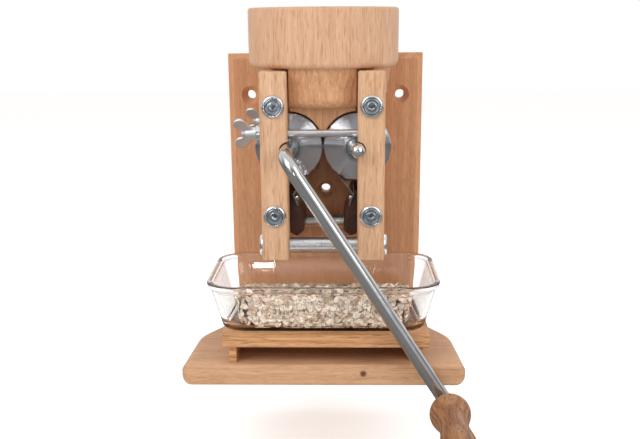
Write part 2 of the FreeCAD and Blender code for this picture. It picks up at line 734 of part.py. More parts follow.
def make_roller(side):
    """Steel drum with chamfered ends on its shaft."""
    axle = f"{SIDES[side]} * roller_side"
    body = new_body(f"{side}_drum")
    inner, outer = "shaft_diameter / 2", "roller_diameter / 2"
    corners = [(inner, "roller_front"), (outer, "roller_front"), (outer, "roller_back"),
               (inner, "roller_back")]
    drum = turned(body, outline(body, "XY_Plane", corners))
    dress(body, "Chamfer", drum, lambda p: near(math.hypot(p.x, p.z), SIZES["roller_diameter"] / 2, 0.02)
          and (near(p.y, value("roller_front")) or near(p.y, value("roller_back"))), "roller_chamfer")
    bind(body, **{"Placement.Base.x": axle, "Placement.Base.z": "-roller_drop"})
    name = "drive" if side == "left" else "driven"
    node(f"{name}_roller", body)
    back = (axle, "shaft_back", "-roller_drop")
    if side == "left":
        stem = rod("drive_stem", "shaft_diameter / 2", "shaft_back - front_bearing_front", back, "front")
        socket = rod("drive_socket", "spigot_diameter / 2 + screw_gap", "spigot_length + 1",
                     (axle, "front_bearing_front", "-roller_drop"), "back")
        node("drive_shaft", cut("drive_shaft_bored", stem, [socket]))
        return
    nose = "-(shaft_ball_reach - shaft_ball_diameter / 2 + ball_nose_gap)"
    stem = rod("driven_stem", "shaft_diameter / 2", f"shaft_back - ({nose})", back, "front")
    socket = rod("driven_socket", "ball_stud_diameter / 2 + screw_gap", "shaft_diameter",
                 (axle, nose, "-roller_drop"), "back")
    node("driven_shaft", cut("driven_shaft_bored", stem, [socket]))
    ball = doc.addObject("Part::Sphere", "shaft_ball_sphere")
    bind(ball, Radius="shaft_ball_diameter / 2")
    locate(ball, axle, "-shaft_ball_reach", "-roller_drop")
    stud = rod("shaft_ball_stud", "ball_stud_diameter / 2", "ball_stud_length",
               (axle, "-shaft_ball_reach", "-roller_drop"), "back")
    node("shaft_ball", fuse("shaft_ball_solid", [ball, stud]))


def on_crank(thing):
    """Turn a piece drawn round the crank axle, with the arm hanging down, to the arm's rest angle."""
    thing.Placement = Placement(Vector(), Rotation(Vector(0, 1, 0), -SIZES["crank_angle"]))
    thing.setExpression("Placement.Rotation.Angle", formula("-crank_angle"))
    thing.setExpression("Placement.Base.x", formula("-roller_side"))
    thing.setExpression("Placement.Base.z", formula("-roller_drop"))
    return thing


def make_crank():
    """Rod that leaves the shaft, bends square and runs down to the grip, and the grip's spindle."""
    radius = "crank_diameter / 2"
    bend_start = "crank_reach - crank_bend"
    axle = rod("crank_axle", radius, f"{bend_start} + front_bearing_front",
               ("0", "front_bearing_front", "0"), "front")
    spigot = rod("crank_spigot", "spigot_diameter / 2", "spigot_length",
                 ("0", "front_bearing_front", "0"), "back")
    bend = doc.addObject("Part::Torus", "crank_elbow")
    bind(bend, Radius1="crank_bend", Radius2=radius)
    bend.Angle3 = 90
    bend.Placement = Placement(Vector(), Rotation(Vector(0, 0, 1), Vector(0, -1, 0), Vector(1, 0, 0), "XYZ"))
    bind(bend, **{"Placement.Base.y": f"-({bend_start})", "Placement.Base.z": "-crank_bend"})
    arm = rod("crank_arm", radius, "crank_length + crank_overhang - crank_bend",
              ("0", "-crank_reach", "-crank_bend"), "down")
    hole = rod("crank_spindle_hole", "spindle_diameter / 2", "crank_diameter * 2",
               ("0", "-(crank_reach - crank_diameter)", "-crank_length"), "front")
    solid = fuse("crank_rod_solid", [axle, spigot, bend, arm])
    node("crank_rod", on_crank(cut("crank_rod_drilled", solid, [hole])))
    tail = "crank_reach - crank_diameter / 2"
    reach = "crank_reach + crank_diameter / 2 + grip_gap + grip_length - grip_sink"
    stem = rod("spindle_stem", "spindle_diameter / 2", f"{reach} + spindle_head_gap + 1 - ({tail})",
               ("0", f"-({tail})", "-crank_length"), "front")
    head = rod("spindle_head", "spindle_head_diameter / 2", "spindle_head_height",
               ("0", f"-({reach} + spindle_head_gap)", "-crank_length"), "front")
    node("grip_spindle", on_crank(fuse("grip_spindle_solid", [stem, head])))


def make_grip():
    """Turned wooden grip: a ball against the crank, a waist and a long swelling, free on its spindle."""
    length = SIZES["grip_length"]
    foot_y = -value("crank_reach + crank_diameter / 2 + grip_gap")
    low = -SIZES["crank_length"]
    curve = Part.BSplineCurve()
    curve.interpolate([Vector(r, foot_y - share * length, low) for share, r in GRIP_STATIONS])
    start, end = curve.value(curve.FirstParameter), curve.value(curve.LastParameter)
    bore = SIZES["spindle_diameter"] / 2 + SIZES["spindle_gap"]
    foot, top = Vector(bore, start.y, low), Vector(bore, end.y, low)
    edges = [curve.toShape(), Part.makeLine(end, top), Part.makeLine(top, foot), Part.makeLine(foot, start)]
    solid = Part.Face(Part.Wire(edges)).revolve(Vector(0, 0, low), Vector(0, 1, 0), 360)
    mouth_radius = SIZES["spindle_head_diameter"] / 2 + SIZES["spindle_mouth_gap"]
    mouth = Part.makeCylinder(mouth_radius, SIZES["grip_sink"] + 1,
                              Vector(0, foot_y - length + SIZES["grip_sink"], low), Vector(0, -1, 0))
    grip = doc.addObject("Part::Feature", "grip_turned")
    grip.Shape = solid.cut(mouth)
    node("grip", on_crank(grip))


def make_hopper():
    """Turned ring on a turned funnel body, the block behind them and the screws that hold them."""
    ring_body = new_body("hopper_ring")
    top = "ring_foot + ring_height"
    corners = [("neck_radius", "ring_foot"), ("ring_diameter / 2", "ring_foot"), ("ring_diameter / 2", top),
               ("mouth_radius", top)]
    ring = turned(ring_body, outline(ring_body, "XZ_Plane", corners))
    foot_level, neck = value("ring_foot"), value("neck_radius")
    foot = dress(ring_body, "Fillet", ring,
                 lambda p: near(p.z, foot_level) and math.hypot(p.x, p.y) > neck + 1, "ring_rounding")
    dress(ring_body, "Fillet", foot, lambda p: near(p.z, value(top)), "ring_lip")
    bind(ring_body, **{"Placement.Base.y": "-hopper_reach"})
    node("hopper_ring", ring_body)

    body = new_body("funnel")
    corners = [
        ("outlet_radius", "-funnel_foot_drop"),
        ("funnel_belly_radius", "-funnel_foot_drop"),
        ("funnel_belly_radius", "funnel_belly_rise"),
        ("funnel_top_radius", "ring_foot"),
        ("neck_radius", "ring_foot"),
    ]
    cup = turned(body, outline(body, "XZ_Plane", corners))
    dress(body, "Fillet", cup, lambda p: near(p.z, -SIZES["funnel_foot_drop"])
          and math.hypot(p.x, p.y) > SIZES["outlet_radius"] + 1, "funnel_rounding")
    bind(body, **{"Placement.Base.y": "-hopper_reach"})
    tools = []
    far = "ring_diameter"
    low = "-(funnel_foot_drop + 1)"
    for side, sign in SIDES.items():
        reach = sorted([f"{sign} * (post_inside - notch_gap)", f"{sign} * {far}"], key=value)
        tools.append(block(f"{side}_front_notch", reach, (f"front_face - {far}", "front_back + notch_gap"),
                           (low, "ring_foot + 1")))
        tools.append(block(f"{side}_rear_notch", reach, ("rear_front - notch_gap", f"rear_back + {far}"),
                           (low, "ring_foot + 1")))
        reach = sorted([f"{sign} * (post_middle - rod_radius - rabbet_side)", f"{sign} * {far}"], key=value)
        tools.append(block(f"{side}_rabbet", reach, (f"front_face - {far}", f"rear_back + {far}"),
                           (low, "rod_radius + rabbet_side - upper_stretcher_drop")))
    tools.append(block("outlet_trough", ("-throat_slot_width / 2", "throat_slot_width / 2"),
                       ("throat_middle - throat_slot_length / 2", "throat_middle + throat_slot_length / 2"),
                       (low, "outlet_trough - funnel_foot_drop")))
    spacer_tools = [cone("spacer_hollow", "funnel_belly_radius", "funnel_top_radius",
                         "ring_foot - funnel_belly_rise", ("0", "-hopper_reach", "funnel_belly_rise"))]
    screws = []
    for index, start in enumerate(hopper_screw_starts(), start=1):
        place = ("hopper_screw_length", start, "back")
        screws.append(wood_screw(f"hopper_screw_{index}", *place))
        tools.append(wood_screw_hole(f"funnel_screw_hole_{index}", *place))
        spacer_tools.append(wood_screw_hole(f"spacer_screw_hole_{index}", *place))
    node("funnel_body", cut("funnel_body_cut", body, tools))
    spacer = block("spacer_block", ("-spacer_width / 2", "spacer_width / 2"),
                   ("-(hopper_reach - funnel_belly_radius + spacer_overlap)", "-board_thick"),
                   ("spacer_rise", "spacer_rise + spacer_height"))
    node("hopper_spacer", cut("hopper_spacer_fitted", spacer, spacer_tools))
    node("hopper_screws", group("hopper_screw_group", screws))


def make_throat():
    """Wedge that fills the valley between the rollers, slotted for the grain."""
    front, back = "roller_front - throat_end_gap", "roller_back + throat_end_gap"
    wedge = block("throat_wedge", ("-throat_width / 2", "throat_width / 2"), (front, back),
                  ("-roller_drop", "-funnel_foot_drop"))
    tools = []
    for side, sign in SIDES.items():
        tools.append(rod(f"throat_{side}_hollow", "roller_diameter / 2 + throat_roller_gap",
                         "roller_back - roller_front + 4",
                         (f"{sign} * roller_side", "roller_front - 2", "-roller_drop"), "back"))
    tools.append(block("throat_slot", ("-throat_slot_width / 2", "throat_slot_width / 2"),
                       ("throat_middle - throat_slot_length / 2", "throat_middle + throat_slot_length / 2"),
                       ("-(roller_drop + 1)", "-(funnel_foot_drop - 1)")))
    node("throat_block", cut("throat_block_cut", wedge, tools))


def lean_box(name, sign, angle, side, drop, width):
    """Thin strip as long as the blade, standing on a point and leaning by an angle about Y."""
    strip = doc.addObject("Part::Box", name)
    bind(strip, Length="blade_thick", Width="blade_length", Height=width)
    strip.Placement = Placement(Vector(), Rotation(Vector(0, 1, 0), value(f"{sign} * {angle}")))
    bind(strip, **{
        "Placement.Base.x": f"{sign} * ({side}) - blade_thick / 2 * cos({angle} * 1 deg)",
        "Placement.Base.y": "(front_back + rear_front - blade_length) / 2",
        "Placement.Base.z": f"{sign} * blade_thick / 2 * sin({angle} * 1 deg) - ({drop})",
    })
    return strip


def make_scraper(side):
    """Wooden bar that hangs on the lower spacer rod, its bent steel blade, the screws and the springs."""
    sign = SIDES[side]
    body = new_body(f"{side}_scraper")
    corners = [
        ("post_middle - scraper_top_out", "lower_stretcher_drop - scraper_top_up"),
        ("brow_side", "brow_drop"),
        ("belly_side", "belly_drop"),
        ("post_middle - scraper_chin_out", "lower_stretcher_drop + scraper_chin_down"),
        ("post_middle - scraper_foot_out", "lower_stretcher_drop + scraper_foot_down"),
        ("post_middle - scraper_heel_out", "lower_stretcher_drop + scraper_heel_down"),
        ("post_middle", "lower_stretcher_drop + scraper_hub_radius"),
        ("post_middle", "lower_stretcher_drop - scraper_hub_radius"),
    ]
    corners = [(f"{sign} * ({u})", f"-({v})") for u, v in corners]
    bar = pad(body, outline(body, "XZ_Plane", corners, "-scraper_back"), "scraper_back - scraper_front")
    foot = value("post_middle") - 1
    brow = value("brow_drop")
    dress(body, "Fillet", bar, lambda p: abs(p.x) < foot and p.z < -brow - 5, "scraper_rounding")
    axis = (f"{sign} * post_middle", "scraper_front", "-lower_stretcher_drop")
    hub = rod(f"{side}_scraper_hub", "scraper_hub_radius", "scraper_back - scraper_front", axis, "back")
    bore = rod(f"{side}_scraper_bore", "rod_radius + scraper_bore_gap", "scraper_back - scraper_front + 2",
               (axis[0], "scraper_front - 1", axis[2]), "back")
    flange_foot = ("bend_side - flange_width * flange_across", "bend_drop + flange_width * flange_along")
    blade = lean_box(f"{side}_blade_edge", sign, "-blade_lean", "bend_side", "bend_drop", "blade_width")
    flange = lean_box(f"{side}_blade_flange", sign, "flange_lean", *flange_foot, "flange_width + blade_thick")
    screws, holes = [], []
    out = "bend_side - flange_width / 2 * flange_across - blade_thick / 2 * flange_along"
    down = "bend_drop + flange_width / 2 * flange_along - blade_thick / 2 * flange_across"
    for index, step in enumerate((-1, 1), start=1):
        stem = rod(f"{side}_blade_stem_{index}", "blade_screw_shank / 2", "blade_screw_length",
                   ("0", "0", "-blade_screw_length"))
        head = cone(f"{side}_blade_head_{index}", "blade_screw_head / 2", "blade_screw_top / 2",
                    "blade_screw_head_height")
        drill = rod(f"{side}_blade_drill_{index}", "blade_screw_shank / 2 + screw_gap",
                    "blade_screw_length + 2", ("0", "0", "-(blade_screw_length + 1)"))
        pieces = [fuse(f"{side}_blade_screw_{index}", [stem, head]),
                  group(f"{side}_blade_hole_{index}", [drill])]
        for piece in pieces:
            turn = sign * (SIZES["flange_lean"] - 90)
            piece.Placement = Placement(Vector(), Rotation(Vector(0, 1, 0), turn))
            bind(piece, **{
                "Placement.Base.x": f"{sign} * ({out})",
                "Placement.Base.y": f"(front_back + rear_front + {step} * blade_screw_spacing) / 2",
                "Placement.Base.z": f"-({down})",
            })
        screws.append(pieces[0])
        holes.append(pieces[1])
    solid = fuse(f"{side}_scraper_solid", [body, hub])
    bent = fuse(f"{side}_blade_bent", [blade, flange])
    node(f"{side}_scraper_bar", cut(f"{side}_scraper_bored", solid, [bore] + holes))
    node(f"{side}_scraper_blade", cut(f"{side}_blade_drilled", bent, holes))
    node(f"{side}_blade_screws", group(f"{side}_blade_screw_group", screws))
    springs = []
    for end, start in (("front", "front_back + spring_wire / 2 + spring_gap"),
                       ("rear", "rear_front - spring_wire / 2 - spring_gap - spring_pitch * spring_turns")):
        coil_body = new_body(f"{side}_{end}_spring")
        sketch = coil_body.newObject("Sketcher::SketchObject", f"{side}_{end}_wire")
        sketch.AttachmentSupport = (origin_plane(coil_body, "XY_Plane"), [""])
        sketch.MapMode = "FlatFace"
        mean = "rod_radius + spring_gap + spring_wire / 2"
        wire = Part.Circle(Vector(value(mean), 0, 0), Vector(0, 0, 1), value("spring_wire / 2"))
        sketch.addGeometry(wire, False)
        sketch.addConstraint(Sketcher.Constraint("PointOnObject", 0, 3, -1))
        place = sketch.addConstraint(Sketcher.Constraint("DistanceX", -1, 1, 0, 3, value(mean)))
        sketch.setExpression(f"Constraints[{place}]", formula(mean))
        place = sketch.addConstraint(Sketcher.Constraint("Radius", 0, value("spring_wire / 2")))
        sketch.setExpression(f"Constraints[{place}]", formula("spring_wire / 2"))
        coil = coil_body.newObject("PartDesign::AdditiveHelix", f"{side}_{end}_coil")
        coil.Profile = sketch
        coil.ReferenceAxis = (sketch, ["V_Axis"])
        coil.Mode = "pitch-turns-angle"
        bind(coil, Pitch="spring_pitch", Turns="spring_turns")
        bind(coil_body, **{
            "Placement.Base.x": axis[0],
            "Placement.Base.y": start,
            "Placement.Base.z": axis[2],
        })
        springs.append(coil_body)
    node(f"{side}_scraper_springs", group(f"{side}_spring_group", springs))


def least_spring_gap():
    """Least air between two points of a spring's wire that lie half a turn or more apart."""
    mean = value("rod_radius + spring_gap + spring_wire / 2")
    wire, pitch, turns = SIZES["spring_wire"], SIZES["spring_pitch"], SIZES["spring_turns"]
    steps = 72
    points = []
    for step in range(steps * turns + 1):
        angle = 2 * math.pi * step / steps
        points.append(Vector(mean * math.cos(angle), mean * math.sin(angle), pitch * step / steps))
    pairs = ((a, b) for a in range(len(points)) for b in range(a + steps // 2, len(points)))
    return min(points[a].distanceToPoint(points[b]) for a, b in pairs) - wire


def bowl_size(axis, level, inset="0"):
    """Width or depth of the tapering bowl at a height over its foot, less an inset on both sides."""
    draft = "bowl_draft_side" if axis == "width" else "bowl_draft_front"
    narrowing = f"{draft} * (1 - ({level}) / bowl_height)"
    return f"bowl_{axis} - 2 * (bowl_lip + {narrowing} + {inset})"


def tub(name, low, high, low_sizes, high_sizes, corner, foot):
    """Tapering block with rounded corners and foot, standing over the bench top between two heights."""
    body = new_body(name)
    wedge = body.newObject("PartDesign::AdditiveWedge", f"{name}_wedge")
    for label, sign in (("min", "-1"), ("max", "1")):
        bind(wedge, **{
            f"X{label}": f"{sign} * ({low_sizes[0]}) / 2",
            f"Z{label}": f"{sign} * ({low_sizes[1]}) / 2",
            f"X2{label}": f"{sign} * ({high_sizes[0]}) / 2",
            f"Z2{label}": f"{sign} * ({high_sizes[1]}) / 2",
        })
    bind(wedge, Ymin=low, Ymax=high)
    wide, deep = value(low_sizes[0]) * 0.4, value(low_sizes[1]) * 0.4
    rounded = dress(body, "Fillet", wedge, lambda p: abs(p.x) > wide and abs(p.z) > deep, corner)
    if foot != "0":
        floor = value(low)
        dress(body, "Fillet", rounded, lambda p: near(p.y, floor), foot)
    return locate(body, "0", "bowl_middle", "bench_top", "front")


def make_bowl():
    """Pressed glass bowl with a lip round its rim, and the heap of flakes in it."""
    outside = tub("bowl_outside", "0", "bowl_height", (bowl_size("width", "0"), bowl_size("depth", "0")),
                  (bowl_size("width", "bowl_height"), bowl_size("depth", "bowl_height")), "bowl_corner",
                  "bowl_foot_rounding")
    lip_low = "bowl_height - bowl_lip_height"
    lip = tub("bowl_lip", lip_low, "bowl_height", ("bowl_width", "bowl_depth"), ("bowl_width", "bowl_depth"),
              "bowl_corner + bowl_lip", "0")
    floor = "bowl_floor"
    over = "bowl_height + 1"
    inside = tub("bowl_inside", floor, over,
                 (bowl_size("width", floor, "bowl_wall"), bowl_size("depth", floor, "bowl_wall")),
                 (bowl_size("width", over, "bowl_wall"), bowl_size("depth", over, "bowl_wall")),
                 "bowl_corner - bowl_wall", "bowl_floor_rounding")
    node("glass_bowl", cut("glass_bowl_hollow", fuse("glass_bowl_solid", [outside, lip]), [inside]))
    low = "bowl_floor + flakes_gap"
    high = "bowl_height - flakes_below_rim"
    inset = "bowl_wall + flakes_gap"
    heap = tub("oat_flakes_heap", low, high,
               (bowl_size("width", low, inset), bowl_size("depth", low, inset)),
               (bowl_size("width", high, inset), bowl_size("depth", high, inset)),
               "bowl_corner - bowl_wall", "bowl_floor_rounding")
    crest, back = "bowl_middle - bowl_depth / 2 + bowl_wall + flakes_shelf", "bowl_middle + bowl_depth / 2"
    over_rim = "bench_top + bowl_height + 1"
    slope = new_body("flakes_slope")
    corners = [(crest, f"bench_top + {high}"), (back, "bench_top + bowl_floor + flakes_back_height"),
               (back, over_rim), (crest, over_rim)]
    pad(slope, outline(slope, "YZ_Plane", corners, "-bowl_width / 2"), "bowl_width")
    node("oat_flakes", cut("oat_flakes_sloped", heap, [slope]))


def make_bench():
    """Loose board on two runners that lifts the bowl off the base."""
    body = new_body("bench_board")
    left, right = "bench_shift - bench_width / 2", "bench_shift + bench_width / 2"
    back = "-(bowl_reach - bench_depth)"
    corners = [(left, "-bowl_reach"), (right, "-bowl_reach"), (right, back), (left, back)]
    slab = pad(body, outline(body, "XY_Plane", corners, "bench_top - bench_thick"), "bench_thick")
    dress(body, "Fillet", slab, lambda p: True, "bench_rounding")
    node("bench_board", body)
    runners = []
    for side, sign in SIDES.items():
        outer = f"bench_shift + {sign} * (bench_width / 2 - bench_runner_inset)"
        inner = f"bench_shift + {sign} * (bench_width / 2 - bench_runner_inset - bench_runner_width)"
        middle = "(bowl_reach - bench_depth / 2)"
        runners.append(block(f"{side}_runner", sorted([inner, outer], key=value),
                             (f"-({middle} + bench_runner_length / 2)",
                              f"-({middle} - bench_runner_length / 2)"),
                             ("-board_drop", "-board_drop + bench_runner_height")))
    node("bench_runners", group("bench_runner_group", runners))


make_wall_board()
make_base()
for side_name in SIDES:
    for end_name in ("front", "rear"):
        make_post(side_name, end_name)
    make_frame_hardware(side_name)
    make_bearings(side_name)
    make_roller(side_name)
    make_scraper(side_name)
make_post_fixing()
make_cross_rods()
make_gap_nut("front")
make_gap_nut("rear")
make_crank()
make_grip()
make_hopper()
make_throat()
make_bowl()
make_bench()
doc.recompute()

faults = [thing.Name for thing in doc.Objects if {"Invalid", "Error"} & set(thing.State)]
for name, thing in nodes.items():
    if thing.Shape.isNull() or not thing.Shape.isValid() or not thing.Shape.Solids:
        faults.append(name)
if faults:
    raise RuntimeError("failed objects: " + ", ".join(faults))

os.makedirs("parts", exist_ok=True)
for name, thing in nodes.items():
    thing.Shape.exportStep(f"parts/{name}.step")
print(len(nodes), "nodes,", sum(len(thing.Shape.Solids) for thing in nodes.values()), "solids")
print(f"least gap of a scraper spring to itself: {least_spring_gap():.2f} mm")
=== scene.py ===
import math
import random

import bmesh
import bpy
from mathutils import Matrix, Vector


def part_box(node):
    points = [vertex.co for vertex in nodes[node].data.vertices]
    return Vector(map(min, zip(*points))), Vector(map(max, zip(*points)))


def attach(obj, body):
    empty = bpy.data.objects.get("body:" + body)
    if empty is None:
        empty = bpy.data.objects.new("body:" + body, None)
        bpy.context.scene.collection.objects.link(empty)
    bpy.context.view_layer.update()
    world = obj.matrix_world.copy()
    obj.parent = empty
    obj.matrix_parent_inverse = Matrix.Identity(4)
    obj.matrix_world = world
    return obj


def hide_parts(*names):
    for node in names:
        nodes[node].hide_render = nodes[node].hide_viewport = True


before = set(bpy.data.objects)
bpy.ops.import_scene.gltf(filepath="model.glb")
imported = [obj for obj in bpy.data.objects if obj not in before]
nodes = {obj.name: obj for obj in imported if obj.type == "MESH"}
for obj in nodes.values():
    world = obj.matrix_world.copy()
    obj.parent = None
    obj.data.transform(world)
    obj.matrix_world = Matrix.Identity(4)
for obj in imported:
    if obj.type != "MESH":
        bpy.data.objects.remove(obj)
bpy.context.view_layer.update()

# ---- Studio ----
# A white room for a wall-hung kitchen tool: a pale floor below the crank's circle, a broad lamp on
# the left, a weaker one on the right, a strip behind, a small window in front and a raised camera.


def tone(written, strength=1.0):
    """Colour written as six hex digits, as the linear colour that a shader takes."""
    parts = [int(written[place:place + 2], 16) / 255 for place in (1, 3, 5)]
    linear = [part / 12.92 if part <= 0.04045 else ((part + 0.055) / 1.055) ** 2.4 for part in parts]
    return (*[part * strength for part in linear], 1.0)


def wire(owner, source, output, target, socket):
    """Link between two nodes of a material or of the world."""
    owner.node_tree.links.new(source.outputs[output], target.inputs[socket])


def add_node(owner, kind, **settings):
    """Shader node of a kind, with attributes and socket values set from the settings."""
    shader = owner.node_tree.nodes.new(kind)
    for key, setting in settings.items():
        if hasattr(shader, key):
            setattr(shader, key, setting)
        else:
            shader.inputs[key.replace("_", " ")].default_value = setting
    return shader


scene = bpy.context.scene
scene.view_settings.view_transform = "Standard"

pitch, yaw, roll = math.radians(15.251), math.radians(1.541), math.radians(-0.432)
gaze = Vector((-math.sin(yaw) * math.cos(pitch), math.cos(yaw) * math.cos(pitch), -math.sin(pitch)))
level_right = Vector((math.cos(yaw), math.sin(yaw), 0))
level_up = level_right.cross(gaze)
right = level_right * math.cos(roll) + level_up * math.sin(roll)
upward = level_up * math.cos(roll) - level_right * math.sin(roll)
lens = bpy.data.cameras.new("lens")
lens.sensor_width = 36
lens.lens = 51.23
lens.shift_y = 0.08
lens.clip_start = 0.02
camera = bpy.data.objects.new("camera", lens)
camera.matrix_world = Matrix((
    (right.x, upward.x, -gaze.x, 0.0176),
    (right.y, upward.y, -gaze.y, -0.9081),
    (right.z, upward.z, -gaze.z, 0.0670),
    (0, 0, 0, 1),
))
scene.collection.objects.link(camera)
scene.camera = camera


def lamp(name, place, aim, width, height, watts):
    """Rectangular softbox at a place, facing an aim point."""
    data = bpy.data.lights.new(name, "AREA")
    data.shape = "RECTANGLE"
    data.size, data.size_y, data.energy = width, height, watts
    box = bpy.data.objects.new(name, data)
    box.location = place
    box.rotation_euler = (Vector(aim) - Vector(place)).to_track_quat("-Z", "Y").to_euler()
    scene.collection.objects.link(box)


lamp("softbox_left", (-0.85, -1.0, 0.8), (0, -0.1, -0.08), 0.8, 0.9, 8.4)
lamp("softbox_right", (0.95, -0.95, 0.6), (0, -0.1, -0.08), 0.5, 0.9, 5.5)
lamp("strip_above", (0.1, 0.55, 1.1), (0, -0.1, -0.05), 1.2, 0.3, 3.0)
lamp("window_low", (-0.13, -1.1, -0.03), (-0.02, -0.06, -0.16), 0.085, 0.05, 0.3)

room = bpy.data.worlds.new("white_room")
room.use_nodes = True
scene.world = room
room.node_tree.nodes.clear()
ray = add_node(room, "ShaderNodeLightPath")
direction = add_node(room, "ShaderNodeTexCoord")
axes = add_node(room, "ShaderNodeSeparateXYZ")
wire(room, direction, "Generated", axes, "Vector")
# Only reflections see this room: dim behind the camera, bright at both sides, above and behind the
# object. The camera, and light bent through the glass, see plain white.
sides = add_node(room, "ShaderNodeValToRGB")
side_tones = sides.color_ramp.elements
side_tones[0].position = 0.0
side_tones[0].color = tone("#6b6d70")
for place, shade in ((0.22, "#f4f5f6"), (0.36, "#8d8f92"), (0.5, "#5b5d60"), (0.62, "#96989a"),
                     (0.76, "#fafafa")):
    side_tones.new(place).color = tone(shade)
side_tones[-1].position = 1.0
side_tones[-1].color = tone("#77797c")
from_side = add_node(room, "ShaderNodeMapRange", From_Min=-1)
wire(room, axes, "X", from_side, "Value")
wire(room, from_side, "Result", sides, "Fac")
overhead = add_node(room, "ShaderNodeMapRange", From_Min=0.35, From_Max=0.7)
wire(room, axes, "Z", overhead, "Value")
ceiling = add_node(room, "ShaderNodeMix", data_type="RGBA", B=tone("#f4f5f6"))
wire(room, overhead, "Result", ceiling, "Factor")
wire(room, sides, "Color", ceiling, "A")
depth = add_node(room, "ShaderNodeMapRange", From_Min=-0.1, From_Max=0.5)
wire(room, axes, "Y", depth, "Value")
mirror_view = add_node(room, "ShaderNodeMix", data_type="RGBA", B=(1, 1, 1, 1))
wire(room, depth, "Result", mirror_view, "Factor")
wire(room, ceiling, "Result", mirror_view, "A")
mirrored = add_node(room, "ShaderNodeBackground")
wire(room, mirror_view, "Result", mirrored, "Color")
fill_light = add_node(room, "ShaderNodeBackground", Color=tone("#fffdfb"), Strength=0.64)
seen = add_node(room, "ShaderNodeBackground", Color=(1, 1, 1, 1))
plain_view = add_node(room, "ShaderNodeMath", operation="MAXIMUM")
wire(room, ray, "Is Camera Ray", plain_view, 0)
wire(room, ray, "Is Transmission Ray", plain_view, 1)
pick_mirror = add_node(room, "ShaderNodeMixShader")
wire(room, ray, "Is Glossy Ray", pick_mirror, "Fac")
wire(room, fill_light, "Background", pick_mirror, 1)
wire(room, mirrored, "Background", pick_mirror, 2)
pick_seen = add_node(room, "ShaderNodeMixShader")
wire(room, plain_view, "Value", pick_seen, "Fac")
wire(room, pick_mirror, "Shader", pick_seen, 1)
wire(room, seen, "Background", pick_seen, 2)
sky = add_node(room, "ShaderNodeOutputWorld")
wire(room, pick_seen, "Shader", sky, "Surface")


def new_finish(name):
    """New material, and the surface shader it starts with."""
    finish = bpy.data.materials.new(name)
    finish.use_nodes = True
    return finish, finish.node_tree.nodes["Principled BSDF"]


bpy.ops.object.select_all(action="DESELECT")
bpy.ops.mesh.primitive_plane_add(size=9, location=(0, 0, -0.32))
floor = bpy.context.object
floor.name = "floor"
floor_white, matt = new_finish("floor_white")
matt.inputs["Base Color"].default_value = tone("#f3f3f3")
matt.inputs["Roughness"].default_value = 0.9
matt.inputs["Specular IOR Level"].default_value = 0.0
floor_ray = add_node(floor_white, "ShaderNodeLightPath")
glow = add_node(floor_white, "ShaderNodeEmission")
either = add_node(floor_white, "ShaderNodeMath", operation="MAXIMUM")
wire(floor_white, floor_ray, "Is Camera Ray", either, 0)
wire(floor_white, floor_ray, "Is Transmission Ray", either, 1)
dimmed = add_node(floor_white, "ShaderNodeMath", operation="MULTIPLY")
wire(floor_white, either, "Value", dimmed, 0)
dimmed.inputs[1].default_value = 0.42
wire(floor_white, dimmed, "Value", glow, "Strength")
# Steel reflects a darker floor than the camera sees, which gives the rollers their dark lower half.
layered = add_node(floor_white, "ShaderNodeAddShader")
wire(floor_white, matt, "BSDF", layered, 0)
wire(floor_white, glow, "Emission", layered, 1)
dark_matt = add_node(floor_white, "ShaderNodeBsdfDiffuse", Color=tone("#8c8c8d"))
straight_on = add_node(floor_white, "ShaderNodeMath", operation="SUBTRACT")
straight_on.inputs[0].default_value = 1
wire(floor_white, floor_ray, "Is Transmission Ray", straight_on, 1)
mirrored_only = add_node(floor_white, "ShaderNodeMath", operation="MULTIPLY")
wire(floor_white, floor_ray, "Is Glossy Ray", mirrored_only, 0)
wire(floor_white, straight_on, "Value", mirrored_only, 1)
for_metal = add_node(floor_white, "ShaderNodeMixShader")
wire(floor_white, mirrored_only, "Value", for_metal, 0)
wire(floor_white, layered, "Shader", for_metal, 1)
wire(floor_white, dark_matt, "BSDF", for_metal, 2)
wire(floor_white, for_metal, "Shader", floor_white.node_tree.nodes["Material Output"], "Surface")
floor.data.materials.append(floor_white)

# ---- Wall board ----
# Planed and oiled beech, a single wide board with its grain upright, bevelled round its front and
# drilled and countersunk for three wall screws. All the wooden pieces share this kind of finish.

lie_along = {"X": (0, -math.pi / 2, 0), "Y": (math.pi / 2, 0, 0), "Z": (0, 0, 0)}


